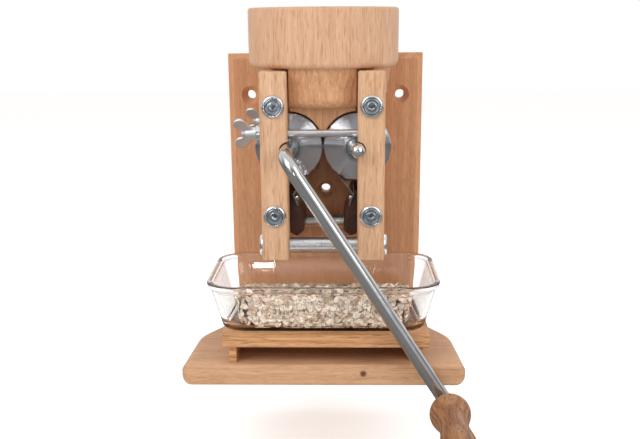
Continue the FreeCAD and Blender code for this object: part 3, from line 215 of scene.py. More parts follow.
def beech(name, pale, deep, along="Z", heart=(0.15, -0.12), ring=0.004, figure=0.3, streaks=0.5,
          flecks=0.35, fleck_tone="#7d4f33", shift=0.0, roughness=0.5, knot=None):
    """Oiled beech: growth rings about a heart line, long streaks, fine fibre and short dark flecks."""
    wood, surface = new_finish(name)
    where = add_node(wood, "ShaderNodeTexCoord")
    lay = add_node(wood, "ShaderNodeMapping", Rotation=lie_along[along])
    lay.inputs["Location"].default_value = (heart[0], heart[1], shift)
    wire(wood, where, "Object", lay, "Vector")
    drawn = add_node(wood, "ShaderNodeMapping", Scale=(1, 1, 0.05))
    wire(wood, lay, "Vector", drawn, "Vector")
    waver = add_node(wood, "ShaderNodeTexNoise", Scale=16, Detail=3)
    wire(wood, drawn, "Vector", waver, "Vector")
    centred = add_node(wood, "ShaderNodeVectorMath", operation="SUBTRACT")
    wire(wood, waver, "Color", centred, 0)
    centred.inputs[1].default_value = (0.5, 0.5, 0.5)
    swing = add_node(wood, "ShaderNodeVectorMath", operation="SCALE", Scale=0.03)
    wire(wood, centred, "Vector", swing, 0)
    swayed = add_node(wood, "ShaderNodeVectorMath", operation="ADD")
    wire(wood, drawn, "Vector", swayed, 0)
    wire(wood, swing, "Vector", swayed, 1)
    rings = add_node(wood, "ShaderNodeTexWave", wave_type="RINGS", rings_direction="Z",
                     Scale=math.pi / (10 * ring), Distortion=2.5, Detail=3, Detail_Scale=1.5)
    wire(wood, swayed, "Vector", rings, "Vector")
    broad = add_node(wood, "ShaderNodeTexNoise", Scale=55, Detail=2)
    wire(wood, drawn, "Vector", broad, "Vector")
    streak = add_node(wood, "ShaderNodeTexNoise", Scale=640, Detail=3, Roughness=0.6)
    wire(wood, swayed, "Vector", streak, "Vector")
    close = add_node(wood, "ShaderNodeMapping", Scale=(1, 1, 0.085))
    wire(wood, lay, "Vector", close, "Vector")
    fibre = add_node(wood, "ShaderNodeTexNoise", Scale=1700, Detail=2)
    wire(wood, close, "Vector", fibre, "Vector")
    specks = add_node(wood, "ShaderNodeTexNoise", Scale=760, Detail=1)
    wire(wood, close, "Vector", specks, "Vector")
    speck_edge = add_node(wood, "ShaderNodeMapRange", From_Min=0.58, From_Max=0.68)
    wire(wood, specks, "Fac", speck_edge, "Value")

    def weigh(source, share):
        """A pattern centred on nought, with its share of the tone."""
        term = add_node(wood, "ShaderNodeMath", operation="MULTIPLY_ADD")
        wire(wood, source, "Fac", term, 0)
        term.inputs[1].default_value = share
        term.inputs[2].default_value = -share / 2
        return term

    total = None
    for source, share in ((rings, figure), (streak, streaks * 2.2), (broad, 0.6), (fibre, 0.95)):
        term = weigh(source, share)
        if total is not None:
            joined = add_node(wood, "ShaderNodeMath", operation="ADD")
            wire(wood, total, "Value", joined, 0)
            wire(wood, term, "Value", joined, 1)
            term = joined
        total = term
    level = add_node(wood, "ShaderNodeMath", operation="ADD")
    wire(wood, total, "Value", level, 0)
    level.inputs[1].default_value = 0.5
    blend = add_node(wood, "ShaderNodeMix", data_type="RGBA", A=tone(pale), B=tone(deep))
    wire(wood, level, "Value", blend, "Factor")
    flecked = add_node(wood, "ShaderNodeMix", data_type="RGBA", B=tone(fleck_tone))
    speck_share = add_node(wood, "ShaderNodeMath", operation="MULTIPLY")
    wire(wood, speck_edge, "Result", speck_share, 0)
    speck_share.inputs[1].default_value = flecks
    wire(wood, speck_share, "Value", flecked, "Factor")
    wire(wood, blend, "Result", flecked, "A")
    colour = flecked
    if knot:
        place, size = knot
        gap = add_node(wood, "ShaderNodeVectorMath", operation="DISTANCE")
        wire(wood, where, "Object", gap, 0)
        gap.inputs[1].default_value = place
        dark = add_node(wood, "ShaderNodeMapRange", From_Min=size * 0.45, From_Max=size, To_Min=0.85,
                        To_Max=0.0)
        wire(wood, gap, "Value", dark, "Value")
        knotted = add_node(wood, "ShaderNodeMix", data_type="RGBA", B=tone("#3a2013"))
        wire(wood, dark, "Result", knotted, "Factor")
        wire(wood, colour, "Result", knotted, "A")
        colour = knotted
    wire(wood, colour, "Result", surface, "Base Color")
    sheen = add_node(wood, "ShaderNodeMapRange", To_Min=roughness - 0.1, To_Max=roughness + 0.12)
    wire(wood, streak, "Fac", sheen, "Value")
    wire(wood, sheen, "Result", surface, "Roughness")
    surface.inputs["Specular IOR Level"].default_value = 0.35
    relief = add_node(wood, "ShaderNodeBump", Strength=0.25, Distance=0.0002)
    wire(wood, level, "Value", relief, "Height")
    wire(wood, relief, "Normal", surface, "Normal")
    return wood


def finish_with(material, *names):
    """Give CAD nodes one finish."""
    for name in names:
        mesh = nodes[name].data
        mesh.materials.clear()
        mesh.materials.append(material)


board_beech = beech("board_beech", "#e0a97f", "#b87a51", heart=(0.11, -0.2), ring=0.006, figure=0.22,
                    streaks=0.4, flecks=0.25, fleck_tone="#94603c", shift=0.4, roughness=0.48)
finish_with(board_beech, "wall_board", "post_spacer", "hopper_spacer")

# ---- Base ----
# The same wood laid flat, wider in front, with rounded edges and one small knot in its front edge.
# Its grain runs from side to side.

base_beech = beech("base_beech", "#deb48f", "#b5835c", along="X", heart=(0.3, 0.16), ring=0.008,
                   figure=0.22, streaks=0.45, flecks=0.22, shift=1.3, roughness=0.5,
                   knot=((0.0342, -0.1836, -0.2215), 0.0036))
finish_with(base_beech, "base_board")

# ---- Posts ----
# Four square bars of pale straight-grained beech with their edges just broken, two on each side.
# The left pair tilts to set the gap between the rollers.

post_beech = beech("post_beech", "#e6bf9c", "#c08f69", heart=(0.12, 0.31), ring=0.005, figure=0.15,
                   streaks=0.55, flecks=0.45, fleck_tone="#a86f47", shift=2.1, roughness=0.52)
finish_with(post_beech, "left_front_post", "left_rear_post", "right_front_post", "right_rear_post")

# ---- Hopper ----
# A turned ring glued on a turned funnel, which is notched round the posts, and the wedge that
# leads the grain between the rollers. The ring is the palest piece, with upright streaks.

ring_beech = beech("ring_beech", "#e2bb9b", "#c4936f", heart=(-0.35, 0.25), ring=0.007, figure=0.14,
                   streaks=0.62, flecks=0.5, fleck_tone="#b0744a", shift=3.2, roughness=0.5)
finish_with(ring_beech, "hopper_ring")
funnel_beech = beech("funnel_beech", "#dfae85", "#b47c53", heart=(-0.012, 0.16), ring=0.0045, figure=0.2,
                     streaks=0.5, flecks=0.4, fleck_tone="#94603c", shift=4.4, roughness=0.5)
finish_with(funnel_beech, "funnel_body", "throat_block")

# ---- Rollers and bearings ----
# Solid steel rollers whose faces are turned, so they throw back fans of light, on bright shafts in
# shielded ball bearings. The right shaft ends in a polished ball.


def steel(name, shade, along="X", roughness=0.2, draw=0.03, grade=900, relief=0.1, vary=0.06, axis=None,
          turning=0.0):
    """Bright steel: drawn or ground along an axis, or turned in fine grooves about a line along Y."""
    groove_width = 0.00021
    metal, surface = new_finish(name)
    surface.inputs["Metallic"].default_value = 1.0
    where = add_node(metal, "ShaderNodeTexCoord")
    tilt = lie_along[along] if isinstance(along, str) else along
    lay = add_node(metal, "ShaderNodeMapping", Rotation=tilt)
    wire(metal, where, "Object", lay, "Vector")
    drawn = add_node(metal, "ShaderNodeMapping", Scale=(1, 1, draw))
    wire(metal, lay, "Vector", drawn, "Vector")
    lines = add_node(metal, "ShaderNodeTexNoise", Scale=grade, Detail=3)
    wire(metal, drawn, "Vector", lines, "Vector")
    clouds = add_node(metal, "ShaderNodeTexNoise", Scale=70, Detail=4)
    wire(metal, lay, "Vector", clouds, "Vector")
    tint = add_node(metal, "ShaderNodeMix", data_type="RGBA", A=tone(shade, 1 - 2 * vary),
                    B=tone(shade, 1 + vary))
    wire(metal, lines, "Fac", tint, "Factor")
    wire(metal, tint, "Result", surface, "Base Color")
    dull = add_node(metal, "ShaderNodeMapRange", From_Min=0.3, From_Max=0.7, To_Min=roughness * 0.75,
                    To_Max=roughness * 1.3)
    wire(metal, clouds, "Fac", dull, "Value")
    wire(metal, dull, "Result", surface, "Roughness")
    if axis is None:
        ridges = add_node(metal, "ShaderNodeBump", Strength=relief, Distance=0.0001)
        wire(metal, lines, "Fac", ridges, "Height")
        wire(metal, ridges, "Normal", surface, "Normal")
        return metal
    from_axis = add_node(metal, "ShaderNodeVectorMath", operation="SUBTRACT")
    wire(metal, where, "Object", from_axis, 0)
    from_axis.inputs[1].default_value = (axis[0], 0, axis[1])
    flat = add_node(metal, "ShaderNodeVectorMath", operation="MULTIPLY")
    wire(metal, from_axis, "Vector", flat, 0)
    flat.inputs[1].default_value = (1, 0, 1)
    radius = add_node(metal, "ShaderNodeVectorMath", operation="LENGTH")
    wire(metal, flat, "Vector", radius, 0)
    outward = add_node(metal, "ShaderNodeVectorMath", operation="NORMALIZE")
    wire(metal, flat, "Vector", outward, 0)
    grooves = add_node(metal, "ShaderNodeMath", operation="PINGPONG")
    wire(metal, radius, "Value", grooves, 0)
    grooves.inputs[1].default_value = groove_width
    lean = add_node(metal, "ShaderNodeMapRange", From_Max=groove_width, To_Min=-0.25 * turning,
                    To_Max=turning)
    wire(metal, grooves, "Value", lean, "Value")
    push = add_node(metal, "ShaderNodeVectorMath", operation="SCALE")
    wire(metal, outward, "Vector", push, 0)
    wire(metal, lean, "Result", push, "Scale")
    facing = add_node(metal, "ShaderNodeNewGeometry")
    tipped = add_node(metal, "ShaderNodeVectorMath", operation="ADD")
    wire(metal, facing, "Normal", tipped, 0)
    wire(metal, push, "Vector", tipped, 1)
    unit = add_node(metal, "ShaderNodeVectorMath", operation="NORMALIZE")
    wire(metal, tipped, "Vector", unit, 0)
    wire(metal, unit, "Vector", surface, "Normal")
    return metal


axle_side, axle_height = 0.02925, -0.0359
for roller, axle in (("drive_roller", -axle_side), ("driven_roller", axle_side)):
    finish_with(steel(f"{roller}_steel", "#c6c7cc", along="Y", roughness=0.13, draw=1.0, grade=1400,
                      axis=(axle, axle_height), turning=0.8), roller)
rod_steel = steel("rod_steel", "#e4e4e5", along="X", roughness=0.3)
bar_steel = steel("bar_steel", "#c4c4c2", along="Y", roughness=0.18)
finish_with(rod_steel, "lower_rods", "tension_rods")
finish_with(bar_steel, "drive_shaft", "driven_shaft", "left_stretchers", "right_stretchers", "grip_spindle")
polished_steel = steel("polished_steel", "#dcdcda", along="Y", roughness=0.07, draw=1.0, grade=200,
                       relief=0.0)
finish_with(polished_steel, "shaft_ball")
for side, axle in (("left", -axle_side), ("right", axle_side)):
    race_steel = steel(f"{side}_bearing_steel", "#b9babc", along="Y", roughness=0.15, draw=1.0, grade=300,
                       axis=(axle, axle_height), turning=0.35)
    finish_with(race_steel, f"{side}_bearing_inner_rings", f"{side}_bearing_outer_rings",
                f"{side}_bearing_balls")

mm = 0.001


def turn_piece(name, outline):
    """Turned piece about Z, drawn up from a circle through pairs of radius and height in millimetres."""
    radius, height = outline[0]
    bpy.ops.object.select_all(action="DESELECT")
    bpy.ops.mesh.primitive_circle_add(vertices=48, radius=radius * mm, location=(0, 0, height * mm))
    piece = bpy.context.object
    piece.name = name
    bpy.ops.object.mode_set(mode="EDIT")
    bpy.ops.mesh.select_all(action="SELECT")
    for next_radius, next_height in outline[1:]:
        rise = (0, 0, (next_height - height) * mm)
        bpy.ops.mesh.extrude_region_move(TRANSFORM_OT_translate={"value": rise})
        swell = next_radius / radius
        bpy.ops.transform.resize(value=(swell, swell, 1), center_override=(0, 0, next_height * mm))
        radius, height = next_radius, next_height
    bpy.ops.mesh.select_all(action="SELECT")
    bpy.ops.mesh.remove_doubles(threshold=0.00004)
    bpy.ops.mesh.normals_make_consistent(inside=False)
    bpy.ops.object.mode_set(mode="OBJECT")
    bpy.ops.object.transform_apply(location=True, rotation=True, scale=True)
    bpy.ops.object.shade_smooth_by_angle(angle=math.radians(35))
    return piece


def solid_boxes(name):
    """Lowest and highest corner of each separate solid of a CAD node."""
    shell = bmesh.new()
    shell.from_mesh(nodes[name].data)
    bmesh.ops.remove_doubles(shell, verts=shell.verts, dist=0.000001)
    waiting, boxes = set(shell.verts), []
    while waiting:
        found, edge_of = [], [waiting.pop()]
        while edge_of:
            point = edge_of.pop()
            found.append(point.co)
            for edge in point.link_edges:
                other = edge.other_vert(point)
                if other in waiting:
                    waiting.discard(other)
                    edge_of.append(other)
        boxes.append((Vector([min(point[i] for point in found) for i in range(3)]),
                      Vector([max(point[i] for point in found) for i in range(3)])))
    shell.free()
    return sorted(boxes, key=lambda box: tuple(box[0]))


def put_copies(pattern, name, places, material, body):
    """One piece made of copies of a pattern, each put in place by its own matrix."""
    copies = []
    for place in places:
        mesh = pattern.data.copy()
        mesh.transform(place)
        if place.determinant() < 0:
            mesh.flip_normals()
        copies.append(bpy.data.objects.new(name, mesh))
        scene.collection.objects.link(copies[-1])
    bpy.ops.object.select_all(action="DESELECT")
    for copy in copies:
        copy.select_set(True)
    bpy.context.view_layer.objects.active = copies[0]
    bpy.ops.object.join()
    piece = bpy.context.object
    piece.name = name
    piece.data.materials.clear()
    piece.data.materials.append(material)
    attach(piece, body)
    return piece


def facing(direction, centre):
    """Matrix that stands a piece made about Z on a centre, with its top towards a direction."""
    turn = Vector((0, 0, 1)).rotation_difference(Vector(direction)).to_matrix().to_4x4()
    return Matrix.Translation(centre) @ turn


shield_recess = 0.5 * mm
shield = turn_piece("shield", [(8.15, 0), (9.98, 0), (9.98, 0.32), (9.7, 0.35), (9.45, 0.2), (8.6, 0.2),
                               (8.35, 0.35), (8.15, 0.32), (8.15, 0)])
shield_steel = steel("shield_steel", "#8d8e91", along="Y", roughness=0.3, draw=1.0, grade=700)
for side, body in (("left", "left_cheek"), ("right", "stand")):
    places = []
    for low, high in solid_boxes(f"{side}_bearing_outer_rings"):
        middle = (low + high) / 2
        places.append(facing((0, -1, 0), (middle.x, low.y + shield_recess, middle.z)))
        places.append(facing((0, 1, 0), (middle.x, high.y - shield_recess, middle.z)))
    put_copies(shield, f"{side}_bearing_shields", places, shield_steel, body)
bpy.data.objects.remove(shield)

# ---- Crank and grip ----
# A round bright bar bent square, pressed into the left roller's shaft, with a turned grip of
# darker beech that spins on a spindle.

crank_turn = math.radians(32.8)
crank_steel = steel("crank_steel", "#cbcbcb", along=(0, crank_turn, 0), roughness=0.19, vary=0.05,
                    relief=0.03)
finish_with(crank_steel, "crank_rod")
grip_beech = beech("grip_beech", "#b98660", "#7f5030", along="Y", heart=(-0.07, 0.2), ring=0.005,
                   figure=0.5, streaks=0.5, flecks=0.6, fleck_tone="#4f2d18", shift=5.5, roughness=0.45)
finish_with(grip_beech, "grip")

# ---- Scrapers ----
# Dark stained bars that hang on the lower spacer rods, each with a thin bent steel blade screwed
# on, pressed to its roller by coil springs.

scraper_wood = beech("dark_wood", "#5b3a2c", "#301c14", along="Y", heart=(0.05, 0.05), ring=0.02,
                     figure=0.3, streaks=0.35, flecks=0.2, fleck_tone="#150c08", shift=6.1, roughness=0.32)
finish_with(scraper_wood, "left_scraper_bar", "right_scraper_bar")
spring_steel = steel("spring_steel", "#c9c5c2", along="Y", roughness=0.15)
finish_with(spring_steel, "left_scraper_blade", "right_scraper_blade", "left_scraper_springs",
            "right_scraper_springs")

# ---- Screws and cup washers ----
# Zinc plated screws with sunk hexagon sockets, each in a turned cup washer. They hold the spacer
# rods from the front and the back, and the lower cross rods from both sides.

zinc = steel("screw_zinc", "#a3abb1", along="Z", roughness=0.26, draw=1.0, grade=420, relief=0.2)
finish_with(zinc, "base_screws", "hopper_screws", "right_post_screws", "left_blade_screws",
            "right_blade_screws")
washer_zinc = steel("washer_zinc", "#e3e6e8", along="Z", roughness=0.2, draw=1.0, grade=420, relief=0.2)
finish_with(washer_zinc, "front_gap_washer", "rear_gap_washer")
cup = turn_piece("cup", [(9.7, 0), (9.66, 0.5), (9.4, 1.2), (8.95, 1.85), (8.4, 2.35), (7.9, 2.56),
                         (7.5, 2.6), (7.15, 2.48), (6.98, 2.15), (6.95, 0.9), (6.95, 0), (9.7, 0)])
screw = turn_piece("screw", [(0.02, -42), (2.5, -42), (3.0, -41.5), (3.0, -0.1), (3.2, 0), (6.5, 0),
                             (6.85, 0.4), (6.85, 1.6), (6.6, 2.15), (6.2, 2.35), (5.8, 2.25), (5.2, 2.0),
                             (4.3, 1.95), (3.85, 2.1), (3.45, 2.32), (3.15, 2.38), (0.02, 2.38)])
bpy.ops.object.select_all(action="DESELECT")
bpy.ops.mesh.primitive_cylinder_add(vertices=6, radius=3.1 * mm, depth=5 * mm, location=(0, 0, 2.4 * mm))
socket = bpy.context.object
bpy.ops.object.mode_set(mode="EDIT")
bpy.ops.mesh.select_all(action="DESELECT")
prism = bmesh.from_edit_mesh(socket.data)
for face in prism.faces:
    face.select_set(face.normal.z < -0.9)
bmesh.update_edit_mesh(socket.data)
bpy.ops.mesh.extrude_region_move(TRANSFORM_OT_translate={"value": (0, 0, -1.6 * mm)})
bpy.ops.transform.resize(value=(0.1, 0.1, 1), center_override=(0, 0, -1.2 * mm))
bpy.ops.object.mode_set(mode="OBJECT")
sunk = screw.modifiers.new("socket", "BOOLEAN")
sunk.object = socket
sunk.solver = "EXACT"
bpy.context.view_layer.objects.active = screw
bpy.ops.object.modifier_apply(modifier="socket")
bpy.data.objects.remove(socket)
between_posts = -0.088
for side, body in (("left", "left_cheek"), ("right", "stand")):
    cup_places, screw_places = [], []
    for index, (low, high) in enumerate(solid_boxes(f"{side}_cup_washers")):
        middle, size = (low + high) / 2, high - low
        if size.x < size.y:
            outward = (math.copysign(1, middle.x), 0, 0)
            foot = Vector((low.x if middle.x > 0 else high.x, middle.y, middle.z))
        else:
            in_front = middle.y < between_posts
            outward = (0, -1 if in_front else 1, 0)
            foot = Vector((middle.x, high.y if in_front else low.y, middle.z))
        twist = Matrix.Rotation(math.radians(17 + 41 * index), 4, "Z")
        cup_places.append(facing(outward, foot))
        screw_places.append(facing(outward, foot) @ twist)
    cups = put_copies(cup, f"{side}_turned_cups", cup_places, washer_zinc, body)
    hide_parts(f"{side}_cup_washers")
    screws = put_copies(screw, f"{side}_socket_screws", screw_places, zinc, body)
    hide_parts(f"{side}_frame_screws")
bpy.data.objects.remove(cup)
bpy.data.objects.remove(screw)

# ---- Wing nuts ----
# Cast zinc wing nuts with rounded edges and a sandy skin, which draw the left posts towards the
# right ones along the tension rods.



def pick(piece):
    """Make one piece the only selected one, and the active one."""
    bpy.ops.object.select_all(action="DESELECT")
    piece.select_set(True)
    bpy.context.view_layer.objects.active = piece


wing_zinc = steel("wing_zinc", "#ecedee", along="Z", roughness=0.44, draw=1.0, grade=900, relief=0.9,
                  vary=0.1)
for end in ("front", "rear"):
    nut = bpy.data.objects.new(f"{end}_cast_nut", nodes[f"{end}_wing_nut"].data.copy())
    scene.collection.objects.link(nut)
    pick(nut)
    bpy.ops.object.mode_set(mode="EDIT")
    bpy.ops.mesh.select_all(action="SELECT")
    bpy.ops.mesh.remove_doubles(threshold=0.000001)
    bpy.ops.object.mode_set(mode="OBJECT")
    skin = nut.modifiers.new("skin", "REMESH")
    skin.mode = "VOXEL"
    skin.voxel_size = 0.00042
    bpy.ops.object.modifier_apply(modifier="skin")
    worn = nut.modifiers.new("worn", "SMOOTH")
    worn.iterations = 7
    bpy.ops.object.modifier_apply(modifier="worn")
    bpy.ops.object.shade_smooth()
    nut.data.materials.clear()
    nut.data.materials.append(wing_zinc)
    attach(nut, f"{end}_nut")
    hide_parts(f"{end}_wing_nut")

# ---- Bench ----
# A loose board of yellower beech with rounded edges, on two thin upright runners. It lifts the bowl
# off the base and slides out to the side.

bench_beech = beech("bench_beech", "#e0ab7c", "#a8703f", along="X", heart=(0.21, 0.14), ring=0.005,
                    figure=0.3, streaks=0.7, flecks=0.6, shift=7.7, roughness=0.5)
finish_with(bench_beech, "bench_board", "bench_runners")

# ---- Glass bowl ----
# A loaf-shaped bowl pressed in clear glass, with a thick rounded lip and fine upright flutes
# inside its long walls. It stands loose on the bench.

bowl_low, bowl_high = (Vector(corner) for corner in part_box("glass_bowl"))
bowl_centre = (bowl_low + bowl_high) / 2
bowl_foot, bowl_height = bowl_low.z, (bowl_high.z - bowl_low.z) / mm
lip = 1.5
rim_half = ((bowl_high.x - bowl_low.x) / 2 / mm - lip, (bowl_high.y - bowl_low.y) / 2 / mm - lip)
draft = (11, 8)
foot_inset, glass_wall, corner_radius = 1.6, 3.6, 21


def bowl_half(height, inset):
    """Half length and half width of the bowl at a height over its foot, less an inset, in millimetres."""
    return [rim_half[i] - draft[i] * (1 - height / bowl_height) - inset for i in range(2)]


# Heights over the foot with the inset there, up the outside, over the lip and down the inside.
bowl_levels = [(0, foot_inset), (0.25, 0.6), (0.9, 0.1), (2, 0), (10, 0), (20, 0), (30, 0), (35.2, 0),
               (36.2, -0.4), (36.7, -1.1), (37.4, -lip), (39.8, -lip), (40.8, -1.25), (41.2, -0.7),
               (41.2, 0.9), (41.1, 2.3), (40.6, 3.0), (39.6, 3.4), (37, 3.5), (34, glass_wall),
               (31, glass_wall), (24, glass_wall), (17, glass_wall), (11, glass_wall), (6, 3.8), (4, 4.6),
               (2.9, 6.2), (2.5, 8.5)]
bpy.ops.object.select_all(action="DESELECT")
bpy.ops.mesh.primitive_plane_add(size=1, location=(bowl_centre.x, bowl_centre.y, bowl_foot))
glass_piece = bpy.context.object
glass_piece.name = "pressed_bowl"
bpy.ops.object.mode_set(mode="EDIT")
bpy.ops.mesh.select_all(action="SELECT")
half = bowl_half(*bowl_levels[0])
bpy.ops.transform.resize(value=(half[0] * 2 * mm, half[1] * 2 * mm, 1),
                         center_override=(bowl_centre.x, bowl_centre.y, bowl_foot))
bpy.ops.mesh.delete(type="ONLY_FACE")
bpy.ops.mesh.select_all(action="SELECT")
bpy.ops.mesh.bevel(offset=corner_radius * mm, segments=12, affect="VERTICES")
loop = bmesh.from_edit_mesh(glass_piece.data)
# One call makes at most 100 cuts, so the long sides are cut into 48 pieces and then each into 6.
for axis, cuts, again in ((0, 47, 5), (1, 24, 0)):
    for edge in loop.edges:
        edge.select_set(False)
    for edge in loop.edges:
        run = edge.verts[0].co - edge.verts[1].co
        if abs(run[axis]) > 0.03:
            edge.select_set(True)
    bmesh.update_edit_mesh(glass_piece.data)
    bpy.ops.mesh.subdivide(number_cuts=cuts)
    if again:
        bpy.ops.mesh.subdivide(number_cuts=again)
    loop = bmesh.from_edit_mesh(glass_piece.data)
bpy.ops.mesh.select_all(action="SELECT")
for (height, inset), (next_height, next_inset) in zip(bowl_levels, bowl_levels[1:]):
    before, after = bowl_half(height, inset), bowl_half(next_height, next_inset)
    bpy.ops.mesh.extrude_region_move(TRANSFORM_OT_translate={"value": (0, 0, (next_height - height) * mm)})
    bpy.ops.transform.resize(value=(after[0] / before[0], after[1] / before[1], 1),
                             center_override=(bowl_centre.x, bowl_centre.y, bowl_foot + next_height * mm))
bpy.ops.mesh.edge_face_add()
bpy.ops.mesh.select_all(action="DESELECT")
loop = bmesh.from_edit_mesh(glass_piece.data)
for edge in loop.edges:
    if len(edge.link_faces) == 1:
        edge.select_set(True)
bmesh.update_edit_mesh(glass_piece.data)
bpy.ops.mesh.edge_face_add()
bpy.ops.mesh.select_all(action="SELECT")
bpy.ops.mesh.normals_make_consistent(inside=False)
bpy.ops.object.mode_set(mode="OBJECT")
bpy.ops.object.transform_apply(location=True, rotation=True, scale=True)
# Each flute takes 8 of the 288 pieces of a long side, and they fade out towards lip and corners.
foot_half = bowl_half(0, foot_inset)[0]
flute = 2 * (foot_half - corner_radius) / 288 * 8
flute_low, flute_high, flute_reach, flute_depth = 10, 35, 46, 0.5
for point in glass_piece.data.vertices:
    height = (point.co.z - bowl_foot) / mm
    out = (point.co.y - bowl_centre.y) / mm
    across = (point.co.x - bowl_centre.x) / mm / bowl_half(height, glass_wall)[0] * foot_half
    within_wall = abs(abs(out) - bowl_half(height, glass_wall)[1]) < 0.3
    if within_wall and flute_low < height < flute_high and abs(across) < flute_reach:
        fade = min(1, (flute_high - height) / 3.0) * min(1, (flute_reach - abs(across)) / 6)
        point.co.y -= math.copysign(flute_depth * mm, out) * fade * math.cos(2 * math.pi * across / flute)
bpy.ops.object.shade_smooth()

clear, glassy = new_finish("bowl_glass")
glassy.inputs["Base Color"].default_value = (0.995, 0.998, 0.997, 1)
glassy.inputs["Transmission Weight"].default_value = 1.0
glassy.inputs["IOR"].default_value = 1.47
smudge_place = add_node(clear, "ShaderNodeTexCoord")
smudge = add_node(clear, "ShaderNodeTexNoise", Scale=45, Detail=3)
wire(clear, smudge_place, "Object", smudge, "Vector")
smudge_range = add_node(clear, "ShaderNodeMapRange", From_Min=0.35, From_Max=0.8, To_Min=0.0, To_Max=0.05)
wire(clear, smudge, "Fac", smudge_range, "Value")
wire(clear, smudge_range, "Result", glassy, "Roughness")
ripple = add_node(clear, "ShaderNodeBump", Strength=0.12, Distance=0.0003)
wire(clear, smudge, "Fac", ripple, "Height")
wire(clear, ripple, "Normal", glassy, "Normal")
glass_ray = add_node(clear, "ShaderNodeLightPath")
see_through = add_node(clear, "ShaderNodeBsdfTransparent", Color=(0.97, 0.97, 0.97, 1))
let_light = add_node(clear, "ShaderNodeMixShader")
wire(clear, glass_ray, "Is Shadow Ray", let_light, 0)
wire(clear, glassy, "BSDF", let_light, 1)
wire(clear, see_through, "BSDF", let_light, 2)
wire(clear, let_light, "Shader", clear.node_tree.nodes["Material Output"], "Surface")
glass_piece.data.materials.append(clear)
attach(glass_piece, "bowl")
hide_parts("glass_bowl")

# ---- Oat flakes ----
# Freshly rolled oats, thin cream ovals with brown bran edges, heaped high against the front glass
# and sloping down to the back of the bowl.

heap_low, heap_high = (Vector(corner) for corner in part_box("oat_flakes"))
settled, shelf_depth, back_height = 4.5, 22, 9
heap_top = (heap_high.z - bowl_foot) / mm - settled
front_wall, back_wall = (bowl_low.y - bowl_centre.y) / mm, (bowl_high.y - bowl_centre.y) / mm
crest = front_wall + glass_wall + shelf_depth
heap_side, side_draft, lowest = 74, 0.16, 2.8


def heap_height(y):
    """Height of the heap over the bowl's foot at a distance in front of or behind its centre."""
    if y < crest:
        return heap_top
    return heap_top + (back_height - heap_top) * (y - crest) / (back_wall - crest)


def keep_inside(point):
    """Point moved inwards until it is clear of the glass, in millimetres about the bowl's centre."""
    height = min(max(point.z, lowest), bowl_height)
    # The inner wall sweeps inwards over the lowest 6 mm.
    sweep = 1.8 * max(0, (6 - height) / 3.2) ** 2
    half = bowl_half(height, 3.75 + sweep)
    corner = 17.5
    half[0] = min(half[0], heap_side - 0.5 + side_draft * height)
    over = Vector((abs(point.x) - (half[0] - corner), abs(point.y) - (half[1] - corner)))
    if over.x > 0 and over.y > 0:
        if over.length > corner:
            over = over * (corner / over.length)
    else:
        over = Vector((min(over.x, corner), min(over.y, corner)))
    return Vector((math.copysign(half[0] - corner + over.x, point.x),
                   math.copysign(half[1] - corner + over.y, point.y), height))


luck = random.Random(11)
flake_shapes = []
for _ in range(5):
    bpy.ops.object.select_all(action="DESELECT")
    bpy.ops.mesh.primitive_uv_sphere_add(segments=8, ring_count=4, radius=1)
    flake = bpy.context.object
    bpy.ops.object.mode_set(mode="EDIT")
    bpy.ops.mesh.select_all(action="SELECT")
    bpy.ops.transform.resize(value=(luck.uniform(3.8, 5.0), luck.uniform(2.3, 3.1), 0.42),
                             center_override=(0, 0, 0))
    bpy.ops.object.mode_set(mode="OBJECT")
    curl, crease = luck.uniform(-0.07, 0.09), luck.uniform(0.15, 0.4)
    for point in flake.data.vertices:
        ragged = 1 + luck.uniform(-0.13, 0.13)
        point.co.x *= ragged
        point.co.y *= ragged
        point.co.z += curl * point.co.x ** 2 - crease * math.exp(-(point.co.y / 0.8) ** 2)
    flake_shapes.append([point.co.copy() for point in flake.data.vertices])
    # A sphere's faces are numbered differently in each run, so they are put in one order.
    flake_faces = sorted(tuple(face.vertices) for face in flake.data.polygons)
    bpy.data.objects.remove(flake)

# Each perch is a flake's place, the way it faces and how far it may tip, in degrees. These stand
# against the glass, most of them in front.
perches = []
for _ in range(1150):
    height = luck.uniform(3.2, heap_top + 0.5)
    half = bowl_half(height, glass_wall)
    half[0] = min(half[0], heap_side + side_draft * height)
    corner = 18
    straight, side_run, arc = 2 * (half[0] - corner), 2 * (half[1] - corner), math.pi / 2 * corner
    if luck.random() < 0.62:
        where = Vector((luck.uniform(-1, 1) * straight / 2, -half[1], height))
        outward = Vector((0, -1, 0.2))
    else:
        away = luck.choice((-1, 1))
        run = luck.uniform(0, side_run + arc)
        if run < side_run:
            where = Vector((away * half[0], run - side_run / 2, height))
            outward = Vector((away, 0, 0.25))
        else:
            angle = (run - side_run) / corner
            where = Vector((away * (half[0] - corner + corner * math.cos(angle)),
                            -(half[1] - corner + corner * math.sin(angle)), height))
            outward = Vector((away * math.cos(angle), -math.sin(angle), 0.2))
    if height > heap_height(where.y) + 0.3:
        continue
    where = where - outward.normalized() * luck.uniform(0.6, 4.4)
    perches.append((where, outward, luck.choice((28, 45, 75))))
# These lie on the top and the slope of the heap.
for _ in range(1500):
    half = bowl_half(20, glass_wall)
    half[0] = heap_side + 2
    where = Vector((luck.uniform(-1, 1) * half[0], luck.uniform(-1, 1) * half[1], 0))
    if where.y > crest and luck.random() < 0.15:
        continue
    where.z = heap_height(where.y) + luck.uniform(-0.9, 0.6)
    perches.append((where, Vector((0, 0.25, 1)), 32))
# A few lie loose above the rest.
for _ in range(34):
    where = Vector((luck.uniform(-1, 1) * 70, luck.uniform(front_wall + 8, crest + 3), 0))
    where.z = heap_top + luck.uniform(1.2, 4.6)
    perches.append((where, Vector((luck.uniform(-0.6, 0.6), -0.4, 1)), 50))

